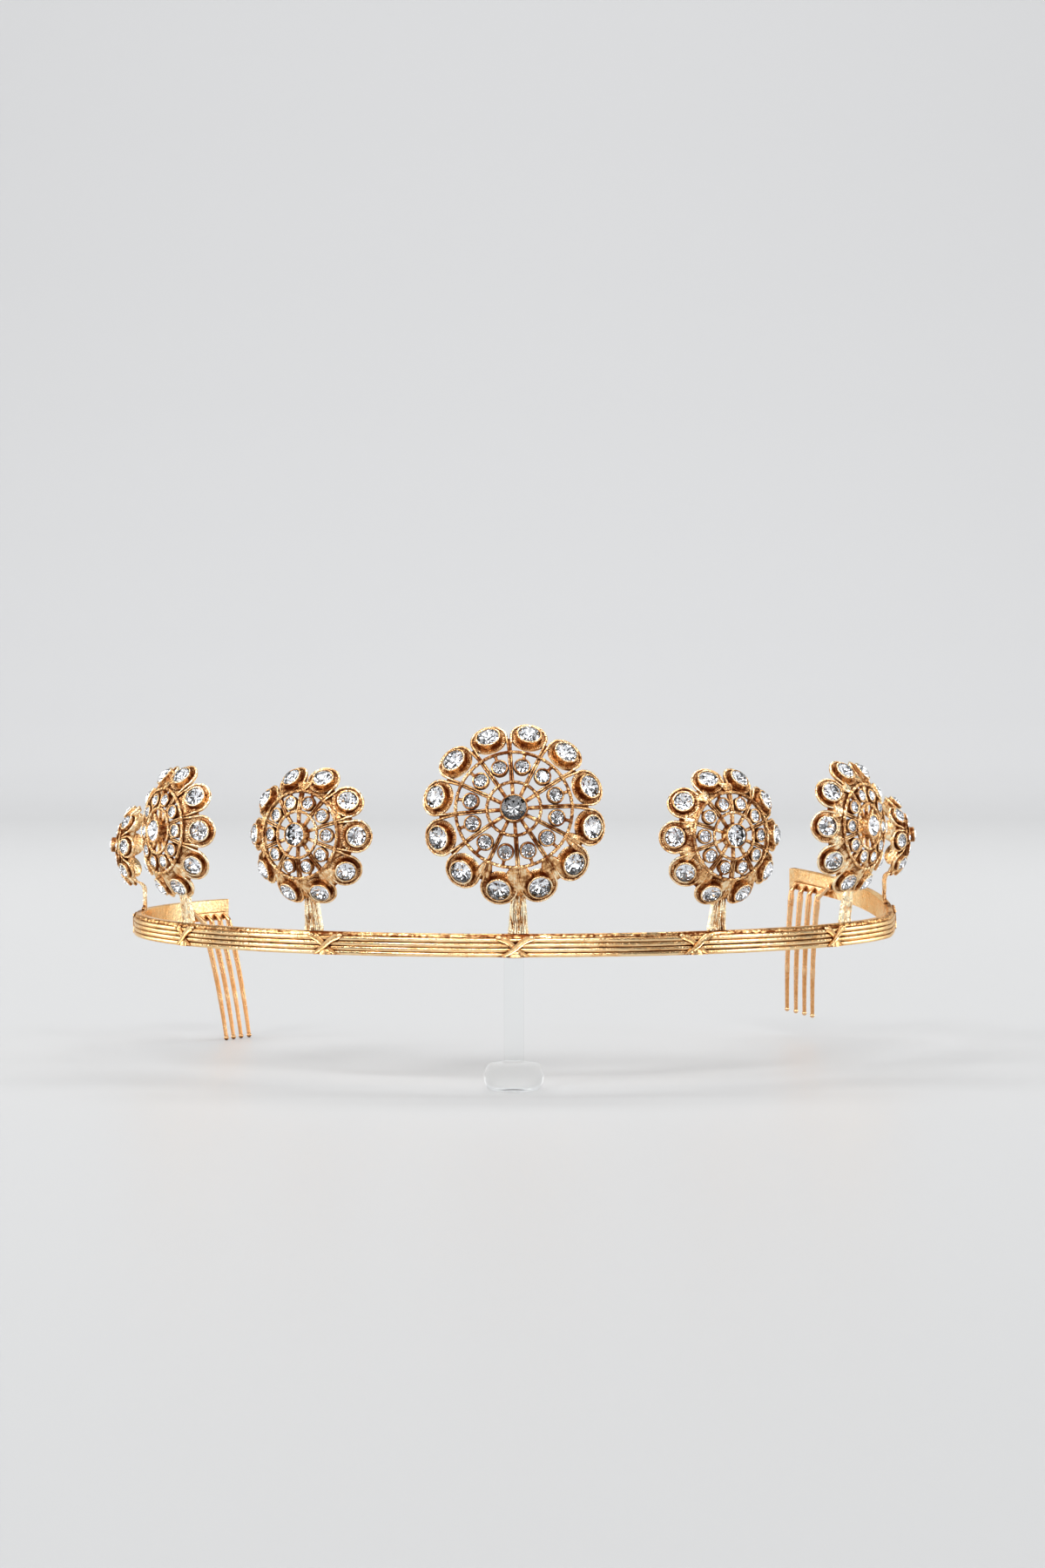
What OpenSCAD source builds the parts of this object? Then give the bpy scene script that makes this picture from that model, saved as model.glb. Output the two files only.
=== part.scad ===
// Tiara: a reeded band with crossed ties, seven stone-set rosettes on stems,
// two side combs and the clear prop that holds up the front of the band.
// Millimetres, +Z up, the front faces -Y, the floor is at Z = 0.

/* [Band] */
// Outer radius of the band, over the reeds
band_r = 75; // [70:0.5:82]
// Wall thickness of the band
band_t = 2; // [1.8:0.1:2.6]
// Height of the band
band_h = 4.24; // [4:0.02:5]
// Height of the band's lower edge above the floor
band_z = 24; // [23:0.5:28]
// Angle from the front of the band to its left end
left_span = 125.5; // [122:0.5:132]
// Angle from the front of the band to its right end
right_span = 128.5; // [122:0.5:132]
// Number of reeds cast along the band
reed_count = 4; // [3:1:5]
// Depth of the grooves between the reeds
reed_depth = 0.55; // [0.3:0.05:0.7]
// Height of the bevel above the reeds
bevel_h = 0.75; // [0.5:0.05:1]

/* [Bent right end] */
// Angle from the front where the band's right end starts to bend upwards
bend_start = 77; // [62:1:82]
// Angle from the front where the bend is complete
bend_end = 87; // [84:1:90]
// How far the right end is bent upwards, in degrees
bend_rise = 6.8; // [0:0.2:8]

/* [Crossed ties] */
// Width over one pair of crossed ribbons
tie_span = 7.1; // [5:0.1:9]
// Width of one ribbon
tie_w = 1.25; // [0.8:0.05:1.6]
// How far the ribbons stand above the reeds
tie_rise = 0.35; // [0.2:0.05:0.6]

/* [Stems] */
// Width of the stems under the centre and middle rosettes, at the foot
stem_w = 3.4; // [2.6:0.1:4]
// Width of those stems at the top, as a share of the foot
stem_taper = 0.76; // [0.6:0.02:1]
// Thickness of those stems
stem_t = 1.25; // [1:0.05:1.3]
// Width of the stems under the end rosettes
end_stem_w = 3; // [2:0.1:3.4]
// Thickness of the end stems
end_stem_t = 0.65; // [0.5:0.05:0.9]

/* [Rosette wires and plates] */
// Radius of the twisted wire in the two rings
rope_r = 0.3; // [0.2:0.05:0.4]
// Radius of the smooth wire round each petal
rim_r = 0.21; // [0.15:0.01:0.3]
// Thickness of a petal's plate
plate_t = 0.7; // [0.6:0.05:0.9]
// Thickness of the spokes
spoke_t = 0.75; // [0.5:0.05:1]
// Width of the spokes
spoke_w = 0.6; // [0.5:0.05:0.65]
// Width of the metal that joins two petals at the end of a spoke
joint_w = 1.05; // [0.95:0.05:1.2]

/* [Settings] */
// Gap between a stone and its collet
stone_play = 0.06; // [0.05:0.01:0.1]
// Wall of a petal's collet
collet_wall = 0.34; // [0.3:0.02:0.36]
// Height of a petal's collet above its plate
collet_h = 0.95; // [0.8:0.05:1.2]
// Wall of the hub's collet
hub_wall = 0.24; // [0.2:0.02:0.4]
// Wall of the small cups between the rings
cup_wall = 0.36; // [0.2:0.02:0.4]
// Depth of the small cups
cup_h = 1.5; // [1.2:0.1:2]
// Outward tilt of the small cups, in degrees
cup_tilt = 14; // [0:1:18]

/* [Combs] */
// Teeth of each comb
tooth_count = 4; // [3:1:5]
// Distance between neighbouring teeth, in degrees round the band
tooth_step = 2.4; // [2:0.1:2.6]
// Angle from the front to the middle of the left comb
left_comb_angle = 120.2; // [118:0.1:122]
// Angle from the front to the middle of the right comb
right_comb_angle = 122.8; // [118:0.1:124]
// Diameter of a tooth at its top
tooth_d = 1.1; // [0.9:0.05:1.3]
// Diameter of a tooth just above its ball
tooth_tip_d = 0.6; // [0.5:0.05:0.8]
// Diameter of the ball at the tip of a tooth
tooth_ball_d = 1; // [0.9:0.05:1.2]
// How far the left comb's tips stand inside the tops of its teeth
left_lean = 5.2; // [1:0.1:6]
// How far the right comb's tips stand inside the tops of its teeth
right_lean = 1.4; // [1:0.1:6]
// Thickness of the bar that joins the teeth
comb_back_t = 0.85; // [0.7:0.05:1]
// Height of that bar
comb_back_h = 1.3; // [1:0.1:1.6]
// How much longer the right comb's teeth are than the left one's
right_extra = 1.2; // [0:0.1:2]
// How far the front arm reaches forward of its tooth
arm_reach = 2.6; // [1.5:0.1:3]
// Diameter of the ball at the end of the front arm
arm_ball_d = 1.2; // [1:0.05:1.4]

/* [Clear prop] */
// Diameter of the prop's rounded foot
foot_d = 10.8; // [8:0.2:12]
// Height of the foot
foot_h = 5; // [3:0.5:8]
// Diameter of the post that the band rests on
post_d = 3.6; // [3:0.2:5]

/* [Hidden] */
$fn = 48;
gap = 0.05;
band_inner_r = band_r - band_t;
band_top = band_z + band_h;

// Columns of the KINDS table, one row for each size of rosette
PETALS = 0;        // number of petals, of ring stones and of spokes
FIRST = 1;         // angle of the first petal from the top, degrees
PETAL_CIRCLE = 2;  // distance of the petal centres from the axis
PETAL_R = 3;       // outer radius of a petal
PETAL_DROP = 4;    // distance of the petal centres behind the outer ring
PETAL_TILT = 5;    // outward tilt of the petals, degrees
OUTER_R = 6;       // radius of the outer twisted ring
INNER_R = 7;       // radius of the inner twisted ring
INNER_RISE = 8;    // rise of the inner ring over the outer one
CUP_CIRCLE = 9;    // distance of the ring stones from the axis
HUB_STONE = 10;    // radius of the hub stone
PETAL_STONE = 11;  // radius of a petal stone
CUP_STONE = 12;    // radius of a ring stone
HUB_RISE = 13;     // rise of the hub stone over the outer ring
LEAN = 14;         // backward lean of the rosette, degrees
OPEN = 15;         // 1 where the field between the rings is cut through
KINDS = [
    [12, 15, 14.0, 3.48, 3.4, 39, 10.5, 4.86, 1.1, 8.0, 2.23, 2.0, 1.22, 2.4, 10.7, 1],
    [10, 18, 10.5, 3.1, 2.5, 42, 7.94, 4.26, 0.9, 6.1, 1.94, 1.7, 1.02, 2.0, 3, 1],
    [8, 0, 6.2, 2.27, 1.8, 42, 4.2, 2.4, 0.8, 3.45, 1.2, 1.3, 0.62, 2.0, 3, 0]
];

// Columns of the PLACES table, one row for each rosette
ANGLE = 0;   // angle round the band from the front, positive to the right
KIND = 1;    // row of the KINDS table
HEIGHT = 2;  // height of the outer ring's centre above the floor
REACH = 3;   // distance of that centre from the axis of the band
ROLL = 4;    // turn of the rosette in its own plane, degrees
FOOT = 5;    // angle of the foot of its stem round the band
PLACES = [
    [0, 0, 50.8, 77, 4, 0.6],
    [-30, 1, 45.9, 78, 0, -29.8],
    [30.5, 1, 45.7, 78, 0, 30.2],
    [-58.1, 1, 45.6, 78, 2, -56.4],
    [57.6, 1, 46.5, 78, -2, 57.8],
    [-92, 2, 41.1, 77.9, 0, -92],
    [92, 2, 41.7, 77.3, 0, 92]
];
CENTER = 0;
LEFT_INNER = 1;
RIGHT_INNER = 2;
LEFT_OUTER = 3;
RIGHT_OUTER = 4;
LEFT_END = 5;
RIGHT_END = 6;

// Angles of the crossed ties round the band
TIE_ANGLES = [-89, -56, -27.4, 0.2, 26.4, 53.4, 89];

// Shape of a cut stone, as shares of its radius
girdle_share = 0.1;
crown_share = 0.32;
table_share = 0.58;
pavilion_share = 0.62;
culet_share = 0.3;
pavilion_max = 1.02;

// The bend is made as two mitres, where the lengths of band overlap by some degrees
BENDS = [bend_start, bend_end];
bend_overlap = 0.2;

// The band's circle is moved so that the origin is under the middle of the box
circle_x = 0.45;
front_reach = PLACES[CENTER][REACH] + (KINDS[0][HUB_RISE] + crown_share * KINDS[0][HUB_STONE])
    * cos(KINDS[0][LEAN]) + 0.18;
back_reach = band_r * cos(180 - right_span);
circle_y = (front_reach - back_reach) / 2;

gold = [0.80, 0.58, 0.26];
pale_gold = [0.84, 0.68, 0.46];
crystal = [0.86, 0.89, 0.92];
clear = [0.85, 0.9, 0.93, 0.35];

// Puts its children at an angle round a level band, with -Y pointing outwards
module round_band(angle) {
    translate([circle_x, circle_y, 0])
        rotate([0, 0, angle])
            children();
}

// Lifts what lies past one mitre of the bend
module mitre(angle) {
    round_band(angle)
        translate([0, 0, band_z + band_h / 2])
            rotate([0, -bend_rise / len(BENDS), 0])
                translate([0, 0, -band_z - band_h / 2])
                    rotate([0, 0, -angle])
                        translate([-circle_x, -circle_y, 0])
                            children();
}

// Lifts its children with the bent end of the band, as far as their angle says
module bent(angle) {
    if (angle <= BENDS[0])
        children();
    else if (angle <= BENDS[1])
        mitre(BENDS[0])
            children();
    else
        mitre(BENDS[0])
            mitre(BENDS[1])
                children();
}

// Puts its children at an angle round the band as it is bent
module on_band(angle) {
    bent(angle)
        round_band(angle)
            children();
}

// Puts its children in a rosette's own frame: X right, Y up and Z outwards
module in_rosette(place) {
    on_band(place[ANGLE])
        translate([0, -place[REACH], place[HEIGHT]])
            rotate([90 - KINDS[place[KIND]][LEAN], 0, 0])
                rotate([0, 0, place[ROLL]])
                    children();
}

// Turns its children clockwise from the top of a rosette
module clockwise(angle) {
    rotate([0, 0, -angle])
        children();
}

// Puts its children on the plate of petal k, with Z along the plate's normal
module on_petal(kind, k) {
    clockwise(kind[FIRST] + k * 360 / kind[PETALS])
        translate([0, kind[PETAL_CIRCLE], -kind[PETAL_DROP]])
            rotate([-kind[PETAL_TILT], 0, 0])
                children();
}

// Puts its children at the rim of cup k between the two rings
module on_cup(kind, k) {
    clockwise(kind[FIRST] + k * 360 / kind[PETALS])
        translate([0, kind[CUP_CIRCLE], cup_h / 2])
            rotate([-cup_tilt, 0, 0])
                children();
}

// A bar whose top runs from (y1, z1) to (y2, z2)
module bar(y1, z1, y2, z2, width, thickness) {
    translate([0, y1, z1])
        rotate([atan2(z2 - z1, y2 - y1), 0, 0])
            translate([-width / 2, 0, -thickness])
                cube([width, norm([y2 - y1, z2 - z1]), thickness]);
}

// A round wire bent to a ring
module wire_ring(ring_r, wire_r) {
    rotate_extrude()
        translate([ring_r, 0])
            circle(r = wire_r, $fn = 32);
}

// The height of the petals' cone at a distance from the rosette's axis
function cone_z(kind, r) = -kind[PETAL_DROP] + (kind[PETAL_CIRCLE] - r) * tan(kind[PETAL_TILT]);

// Depth of a stone's pavilion
function pavilion(stone_r) = min(pavilion_share * stone_r, pavilion_max);

// A round stone with a table, its girdle's top at Z = 0
module stone(stone_r) {
    girdle = girdle_share * stone_r;
    cylinder(r1 = stone_r, r2 = table_share * stone_r, h = crown_share * stone_r, $fn = 8);
    translate([0, 0, -girdle])
        cylinder(r = stone_r, h = girdle, $fn = 8);
    translate([0, 0, -girdle - pavilion(stone_r)])
        cylinder(r1 = culet_share * stone_r, r2 = stone_r, h = pavilion(stone_r), $fn = 8);
}

// The room cut for a stone, open at the top
module seat(stone_r) {
    depth = girdle_share * stone_r + pavilion(stone_r) + gap;
    translate([0, 0, -depth])
        cylinder(r = stone_r + stone_play, h = depth + 1);
}

// A petal: round plate, smooth wire rim and collet
module petal(kind) {
    plate_r = kind[PETAL_R] - rim_r;
    translate([0, 0, -plate_t])
        cylinder(r = plate_r, h = plate_t);
    wire_ring(plate_r, rim_r);
    translate([0, 0, -plate_t / 2])
        cylinder(r = kind[PETAL_STONE] + stone_play + collet_wall, h = collet_h + plate_t / 2);
}

// A small cup with the bridge that ties it to the outer ring
module cup(kind, k) {
    on_cup(kind, k)
        translate([0, 0, -cup_h])
            cylinder(r = kind[CUP_STONE] + stone_play + cup_wall, h = cup_h);
    clockwise(kind[FIRST] + k * 360 / kind[PETALS])
        bar(kind[CUP_CIRCLE], 0.15, kind[OUTER_R] + 0.1, 0.05, 0.9, spoke_t - 0.1);
}

// One spoke, in three lengths from the hub to the joint between two petals
module spoke(kind, k) {
    half_step = 180 / kind[PETALS];
    joint_r = kind[PETAL_CIRCLE] * cos(half_step);
    clockwise(kind[FIRST] + half_step + k * 360 / kind[PETALS]) {
        bar(kind[HUB_STONE] - 0.7, kind[INNER_RISE] - 0.05, kind[INNER_R] + 0.15,
            kind[INNER_RISE] - 0.05, spoke_w - 0.08, spoke_t - 0.05);
        bar(kind[INNER_R] - 0.1, kind[INNER_RISE] - 0.02, kind[OUTER_R] + 0.1, -0.02,
            spoke_w, spoke_t);
        bar(kind[OUTER_R] - 0.15, 0.02, joint_r + 0.7, -kind[PETAL_DROP] + 0.05, joint_w,
            spoke_t + 0.06);
    }
}

// The closed cone behind the inner edges of the petals
module web(kind) {
    inner = kind[OUTER_R] - 0.2;
    outer = kind[PETAL_CIRCLE] - 0.45 * kind[PETAL_R];
    rotate_extrude()
        polygon([
            [inner, cone_z(kind, inner) - 0.12],
            [outer, cone_z(kind, outer) - 0.12],
            [outer, cone_z(kind, outer) - 0.8],
            [inner, cone_z(kind, inner) - 0.8]
        ]);
}

// The closed plate between the hub and the outer ring of the smallest rosettes
module field(kind) {
    rotate_extrude()
        polygon([
            [0, kind[INNER_RISE] - 0.1],
            [kind[INNER_R], kind[INNER_RISE] - 0.1],
            [kind[OUTER_R], -0.06],
            [kind[OUTER_R], -0.64],
            [kind[INNER_R], -0.25],
            [0, -0.25]
        ]);
}

// The flooded metal between the lowest petals, widest where the stem joins
module lower_fill(kind) {
    for (side = [-1 : 1])
        clockwise(180 + side * 360 / kind[PETALS])
            bar(kind[OUTER_R] - 0.1, 0.06, kind[PETAL_CIRCLE] + 1.2 - 0.5 * abs(side),
                -kind[PETAL_DROP] - 0.35, (0.85 - 0.35 * abs(side)) * stem_w, 1.1);
}

// The metal of one rosette, without its stem
module rosette_metal(kind) {
    hub_r = kind[HUB_STONE] + stone_play + hub_wall;
    steps = [0 : kind[PETALS] - 1];
    difference() {
        union() {
            wire_ring(kind[OUTER_R], rope_r);
            translate([0, 0, kind[INNER_RISE]])
                wire_ring(kind[INNER_R], rope_r);
            translate([0, 0, kind[INNER_RISE] - 0.95])
                cylinder(r = hub_r, h = kind[HUB_RISE] - kind[INNER_RISE] + 0.95);
            for (k = steps) {
                on_petal(kind, k)
                    petal(kind);
                cup(kind, k);
                spoke(kind, k);
            }
            if (kind[PETALS] < 12)
                web(kind);
            if (kind[OPEN] == 0)
                field(kind);
            if (kind[FIRST] > 0)
                lower_fill(kind);
        }
        translate([0, 0, kind[HUB_RISE]])
            seat(kind[HUB_STONE]);
        for (k = steps) {
            on_petal(kind, k)
                translate([0, 0, collet_h])
                    seat(kind[PETAL_STONE]);
            on_cup(kind, k)
                seat(kind[CUP_STONE]);
        }
    }
}

// A stem as a side outline, [distance from the band's axis, height], made stem-wide
module stem(angle, width, outline) {
    on_band(angle)
        rotate([90, 0, -90])
            translate([0, 0, -width / 2])
                linear_extrude(width)
                    polygon(outline);
}

// A stem that narrows from its foot to its top
module tapered_stem(angle, top_z, outline) {
    intersection() {
        stem(angle, stem_w, outline);
        on_band(angle)
            rotate([90, 0, 0])
                linear_extrude(2 * band_r)
                    polygon([
                        [-stem_w / 2, band_z],
                        [stem_w / 2, band_z],
                        [stem_w / 2, band_top + 1],
                        [stem_taper * stem_w / 2, top_z],
                        [-stem_taper * stem_w / 2, top_z],
                        [-stem_w / 2, band_top + 1]
                    ]);
    }
}

// Side outline of the stem under a centre or middle rosette
function stem_outline(top_z, top_shift) = [
    [band_inner_r + gap, band_top + gap],
    [band_inner_r + gap + stem_t, band_top + gap],
    [band_inner_r + gap + stem_t, band_top + 1],
    [band_inner_r + gap + stem_t + top_shift, top_z],
    [band_inner_r + gap + top_shift, top_z],
    [band_inner_r + gap, band_top + 1]
];

// Side outline of the hooked stem behind an end rosette
function hook_outline(bend_z, hook_r) = [
    [band_inner_r + gap, band_top + gap],
    [band_inner_r + gap + end_stem_t, band_top + gap],
    [band_inner_r + gap + end_stem_t, bend_z],
    [band_inner_r + gap + end_stem_t + 0.5, bend_z + 0.9],
    [hook_r, bend_z + 1.4],
    [hook_r, bend_z + 2.1],
    [band_inner_r + gap + 0.6, bend_z + 1.6],
    [band_inner_r + gap, bend_z + 0.4]
];

// One rosette with its stem
module rosette(place) {
    kind = KINDS[place[KIND]];
    low = place[HEIGHT] - kind[PETAL_CIRCLE] - kind[PETAL_R] * cos(kind[PETAL_TILT]);
    color(gold)
        union() {
            in_rosette(place)
                rosette_metal(kind);
            if (place[KIND] == 0)
                tapered_stem(place[FOOT], low + 2.6, stem_outline(low + 2.6, 1.6));
            if (place[KIND] == 1)
                tapered_stem(place[FOOT], low + 2.2, stem_outline(low + 2.2, 1));
            if (place[KIND] == 2)
                stem(place[FOOT], end_stem_w, hook_outline(low - 1, 75.4));
        }
}

module hub_stone(place) {
    kind = KINDS[place[KIND]];
    color(crystal)
        in_rosette(place)
            translate([0, 0, kind[HUB_RISE]])
                stone(kind[HUB_STONE]);
}

module petal_stone(place, k) {
    kind = KINDS[place[KIND]];
    color(crystal)
        in_rosette(place)
            on_petal(kind, k)
                translate([0, 0, collet_h])
                    stone(kind[PETAL_STONE]);
}

module petal_stones(place) {
    for (k = [0 : KINDS[place[KIND]][PETALS] - 1])
        petal_stone(place, k);
}

module ring_stones(place) {
    kind = KINDS[place[KIND]];
    color(crystal)
        in_rosette(place)
            for (k = [0 : kind[PETALS] - 1])
                on_cup(kind, k)
                    stone(kind[CUP_STONE]);
}

// Outline points of one reed, from its lower groove to its upper flank
function reed_points(k, pitch) = [
    [band_r - reed_depth, k * pitch],
    [band_r - 0.3 * reed_depth, (k + 0.14) * pitch],
    [band_r, (k + 0.38) * pitch],
    [band_r, (k + 0.62) * pitch],
    [band_r - 0.3 * reed_depth, (k + 0.86) * pitch]
];

// The band's section, [distance from its axis, height]
module band_section() {
    pitch = (band_h - bevel_h) / reed_count;
    bevel_r = band_inner_r + 0.7 * band_t;
    polygon(concat(
        [[band_inner_r, 0]],
        [for (k = [0 : reed_count - 1]) each reed_points(k, pitch)],
        [
            [band_r - reed_depth, band_h - bevel_h],
            [band_r - 0.25, band_h - bevel_h + 0.1],
            [bevel_r, band_h],
            [band_inner_r, band_h]
        ]
    ));
}

// Two crossed ribbons and the loop between their lower ends, over the reeds
module crossed_tie() {
    depth = reed_depth + 0.3 + tie_rise;
    steep = atan(band_h / (tie_span - tie_w));
    translate([0, -band_r - tie_rise, 0])
        intersection() {
            translate([-tie_span / 2, 0, 0.02])
                cube([tie_span, depth, band_h - 0.3]);
            union() {
                for (side = [-1, 1])
                    translate([0, 0.04 * (side + 1), band_h / 2])
                        rotate([0, side * steep, 0])
                            translate([-tie_span, 0, -tie_w / 2])
                                cube([2 * tie_span, depth, tie_w]);
                translate([0, 0.12, -0.2])
                    rotate([-90, 0, 0])
                        cylinder(r = 1.45, h = depth);
            }
        }
}

// A level length of the band between two angles from its front
module band_arc(start, end) {
    round_band(start - 90)
        translate([0, 0, band_z])
            rotate_extrude(angle = end - start, $fn = 180)
                band_section();
}

module band() {
    color(gold)
        union() {
            band_arc(-left_span, BENDS[0]);
            bent(BENDS[1])
                band_arc(BENDS[0] - bend_overlap, BENDS[1]);
            bent(right_span)
                band_arc(BENDS[1] - bend_overlap, right_span);
            for (angle = TIE_ANGLES)
                on_band(angle)
                    translate([0, 0, band_z])
                        crossed_tie();
        }
}

// A round tapered rod between two points
module rod(start, end, start_d, end_d) {
    run = end - start;
    translate(start)
        rotate([0, acos(run[2] / norm(run)), atan2(run[1], run[0])])
            cylinder(d1 = start_d, d2 = end_d, h = norm(run));
}

// A comb; side is -1 for the left of the band and 1 for the right
module comb(side, middle, lean, extra) {
    half = (tooth_count - 1) * tooth_step / 2;
    back_r = band_inner_r - gap - comb_back_t;
    knuckle = [0, -band_inner_r + 1.75, band_z - 0.5];
    tip = knuckle + [0, lean, tooth_ball_d / 2 - extra - knuckle[2]];
    arm_ball = [-side * arm_reach, -band_inner_r + gap + arm_ball_d / 2, band_z + 2.2];
    color(pale_gold)
        union() {
            // The back is a thin bar along the band's inner face
            bent(side * middle)
                round_band(side * middle - 90 - half - 0.7)
                    translate([0, 0, band_z + 0.5])
                        rotate_extrude(angle = 2 * half + 1.4, $fn = 180)
                            translate([back_r, 0])
                                square([comb_back_t, comb_back_h]);
            for (k = [0 : tooth_count - 1])
                on_band(side * (middle - half + k * tooth_step)) {
                    translate(tip)
                        sphere(d = tooth_ball_d);
                    rod(tip, knuckle, tooth_tip_d, tooth_d);
                    translate(knuckle)
                        sphere(d = tooth_d + 0.25);
                    rod(knuckle, [0, -back_r - 0.3, band_z + 1.1], tooth_d - 0.05,
                        tooth_d - 0.2);
                }
            // The front tooth has a longer arm that ends in a small ball
            on_band(side * (middle - half)) {
                translate(arm_ball)
                    sphere(d = arm_ball_d);
                rod(knuckle, arm_ball, 0.9, 0.8);
            }
        }
}

// The clear prop: a slim post on a foot that is rounded above and below
module clear_prop() {
    foot_r = foot_d / 2;
    round_r = foot_h / 2;
    color(clear)
        round_band(0)
            translate([0, -band_r + band_t / 2, 0])
                rotate_extrude()
                    polygon(concat(
                        [[0, 0]],
                        [for (a = [-90 : 15 : 90])
                            [foot_r - 0.6 * round_r * (1 - cos(a)), round_r * (1 + sin(a))]],
                        [[post_d / 2, foot_h], [post_d / 2, band_z - gap], [0, band_z - gap]]
                    ));
}

band();
comb(-1, left_comb_angle, left_lean, 0);  // comb_left
comb(1, right_comb_angle, right_lean, right_extra);  // comb_right
clear_prop();
rosette(PLACES[CENTER]);  // rosette_center
rosette(PLACES[LEFT_INNER]);  // rosette_left_inner
rosette(PLACES[RIGHT_INNER]);  // rosette_right_inner
rosette(PLACES[LEFT_OUTER]);  // rosette_left_outer
rosette(PLACES[RIGHT_OUTER]);  // rosette_right_outer
rosette(PLACES[LEFT_END]);  // rosette_left_end
rosette(PLACES[RIGHT_END]);  // rosette_right_end
hub_stone(PLACES[CENTER]);  // hub_stone_center
hub_stone(PLACES[LEFT_INNER]);  // hub_stone_left_inner
hub_stone(PLACES[RIGHT_INNER]);  // hub_stone_right_inner
hub_stone(PLACES[LEFT_OUTER]);  // hub_stone_left_outer
hub_stone(PLACES[RIGHT_OUTER]);  // hub_stone_right_outer
hub_stone(PLACES[LEFT_END]);  // hub_stone_left_end
hub_stone(PLACES[RIGHT_END]);  // hub_stone_right_end
petal_stone(PLACES[CENTER], 0);  // petal_stone_center_01
petal_stone(PLACES[CENTER], 1);  // petal_stone_center_02
petal_stone(PLACES[CENTER], 2);  // petal_stone_center_03
petal_stone(PLACES[CENTER], 3);  // petal_stone_center_04
petal_stone(PLACES[CENTER], 4);  // petal_stone_center_05
petal_stone(PLACES[CENTER], 5);  // petal_stone_center_06
petal_stone(PLACES[CENTER], 6);  // petal_stone_center_07
petal_stone(PLACES[CENTER], 7);  // petal_stone_center_08
petal_stone(PLACES[CENTER], 8);  // petal_stone_center_09
petal_stone(PLACES[CENTER], 9);  // petal_stone_center_10
petal_stone(PLACES[CENTER], 10);  // petal_stone_center_11
petal_stone(PLACES[CENTER], 11);  // petal_stone_center_12
petal_stones(PLACES[LEFT_INNER]);  // petal_stones_left_inner
petal_stones(PLACES[RIGHT_INNER]);  // petal_stones_right_inner
petal_stones(PLACES[LEFT_OUTER]);  // petal_stones_left_outer
petal_stones(PLACES[RIGHT_OUTER]);  // petal_stones_right_outer
petal_stones(PLACES[LEFT_END]);  // petal_stones_left_end
petal_stones(PLACES[RIGHT_END]);  // petal_stones_right_end
ring_stones(PLACES[CENTER]);  // ring_stones_center
ring_stones(PLACES[LEFT_INNER]);  // ring_stones_left_inner
ring_stones(PLACES[RIGHT_INNER]);  // ring_stones_right_inner
ring_stones(PLACES[LEFT_OUTER]);  // ring_stones_left_outer
ring_stones(PLACES[RIGHT_OUTER]);  // ring_stones_right_outer
ring_stones(PLACES[LEFT_END]);  // ring_stones_left_end
ring_stones(PLACES[RIGHT_END]);  // ring_stones_right_end
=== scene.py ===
"""Gilt tiara with stone-set rosettes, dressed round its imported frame."""
import math
from typing import NamedTuple

import bmesh
import bpy
from bpy.props import FloatProperty, FloatVectorProperty, PointerProperty
from bpy.types import NodeSocket, Operator, Panel, PropertyGroup
from mathutils import Matrix, Vector, noise


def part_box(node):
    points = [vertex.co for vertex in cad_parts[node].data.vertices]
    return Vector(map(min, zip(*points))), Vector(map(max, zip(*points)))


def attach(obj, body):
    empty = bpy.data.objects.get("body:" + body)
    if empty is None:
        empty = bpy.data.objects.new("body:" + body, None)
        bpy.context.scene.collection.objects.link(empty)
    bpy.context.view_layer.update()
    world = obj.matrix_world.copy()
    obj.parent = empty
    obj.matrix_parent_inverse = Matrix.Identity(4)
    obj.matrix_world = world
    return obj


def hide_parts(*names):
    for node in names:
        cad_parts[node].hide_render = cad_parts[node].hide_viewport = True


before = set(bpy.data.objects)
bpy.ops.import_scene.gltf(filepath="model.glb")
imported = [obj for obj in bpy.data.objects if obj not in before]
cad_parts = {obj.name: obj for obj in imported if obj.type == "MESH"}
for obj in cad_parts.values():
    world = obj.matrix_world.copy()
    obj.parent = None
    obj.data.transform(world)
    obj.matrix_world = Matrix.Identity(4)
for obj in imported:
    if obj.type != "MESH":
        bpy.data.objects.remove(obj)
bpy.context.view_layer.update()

bl_info = {
    "name": "Gilt Tiara",
    "version": (1, 0, 0),
    "blender": (4, 5, 0),
    "location": "View3D > Sidebar > Tiara",
    "description": "Builds a gilt tiara with stone-set rosettes on a reeded band",
    "category": "Add Mesh",
}

MM = 0.001
BODY = "root"

# Sizes below are millimetres, and turned to metres as each piece is placed
BAND_R = 75.0
BAND_T = 2.0
BAND_H = 4.24
BAND_Z = 24.0
BAND_TOP = BAND_Z + BAND_H
BAND_INNER_R = BAND_R - BAND_T
LEFT_SPAN = 125.5
RIGHT_SPAN = 128.5
TIE_ANGLES = (-89, -56, -27.4, 0.2, 26.4, 53.4, 89)
# The right end is bent upwards at two places, over a few degrees on either side of each
BENDS = (77, 87)
BEND_HALF = 3
BEND_RISE = 6.8
GAP = 0.05
STONE_PLAY = 0.06
COLLET_WALL = 0.34
COLLET_H = 0.95
HUB_WALL = 0.24
CUP_WALL = 0.36
CUP_H = 1.5
CUP_TILT = 14
PLATE_T = 0.7
BAR_T = 0.62
STEM_TAPER = 0.76

# The prop stands under the front of the band, on the middle of its wall
prop_low, prop_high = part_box("clear_prop")
CIRCLE = Vector((0.5 * (prop_low[0] + prop_high[0]) / MM,
                 0.5 * (prop_low[1] + prop_high[1]) / MM + BAND_R - BAND_T / 2, 0))


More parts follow.
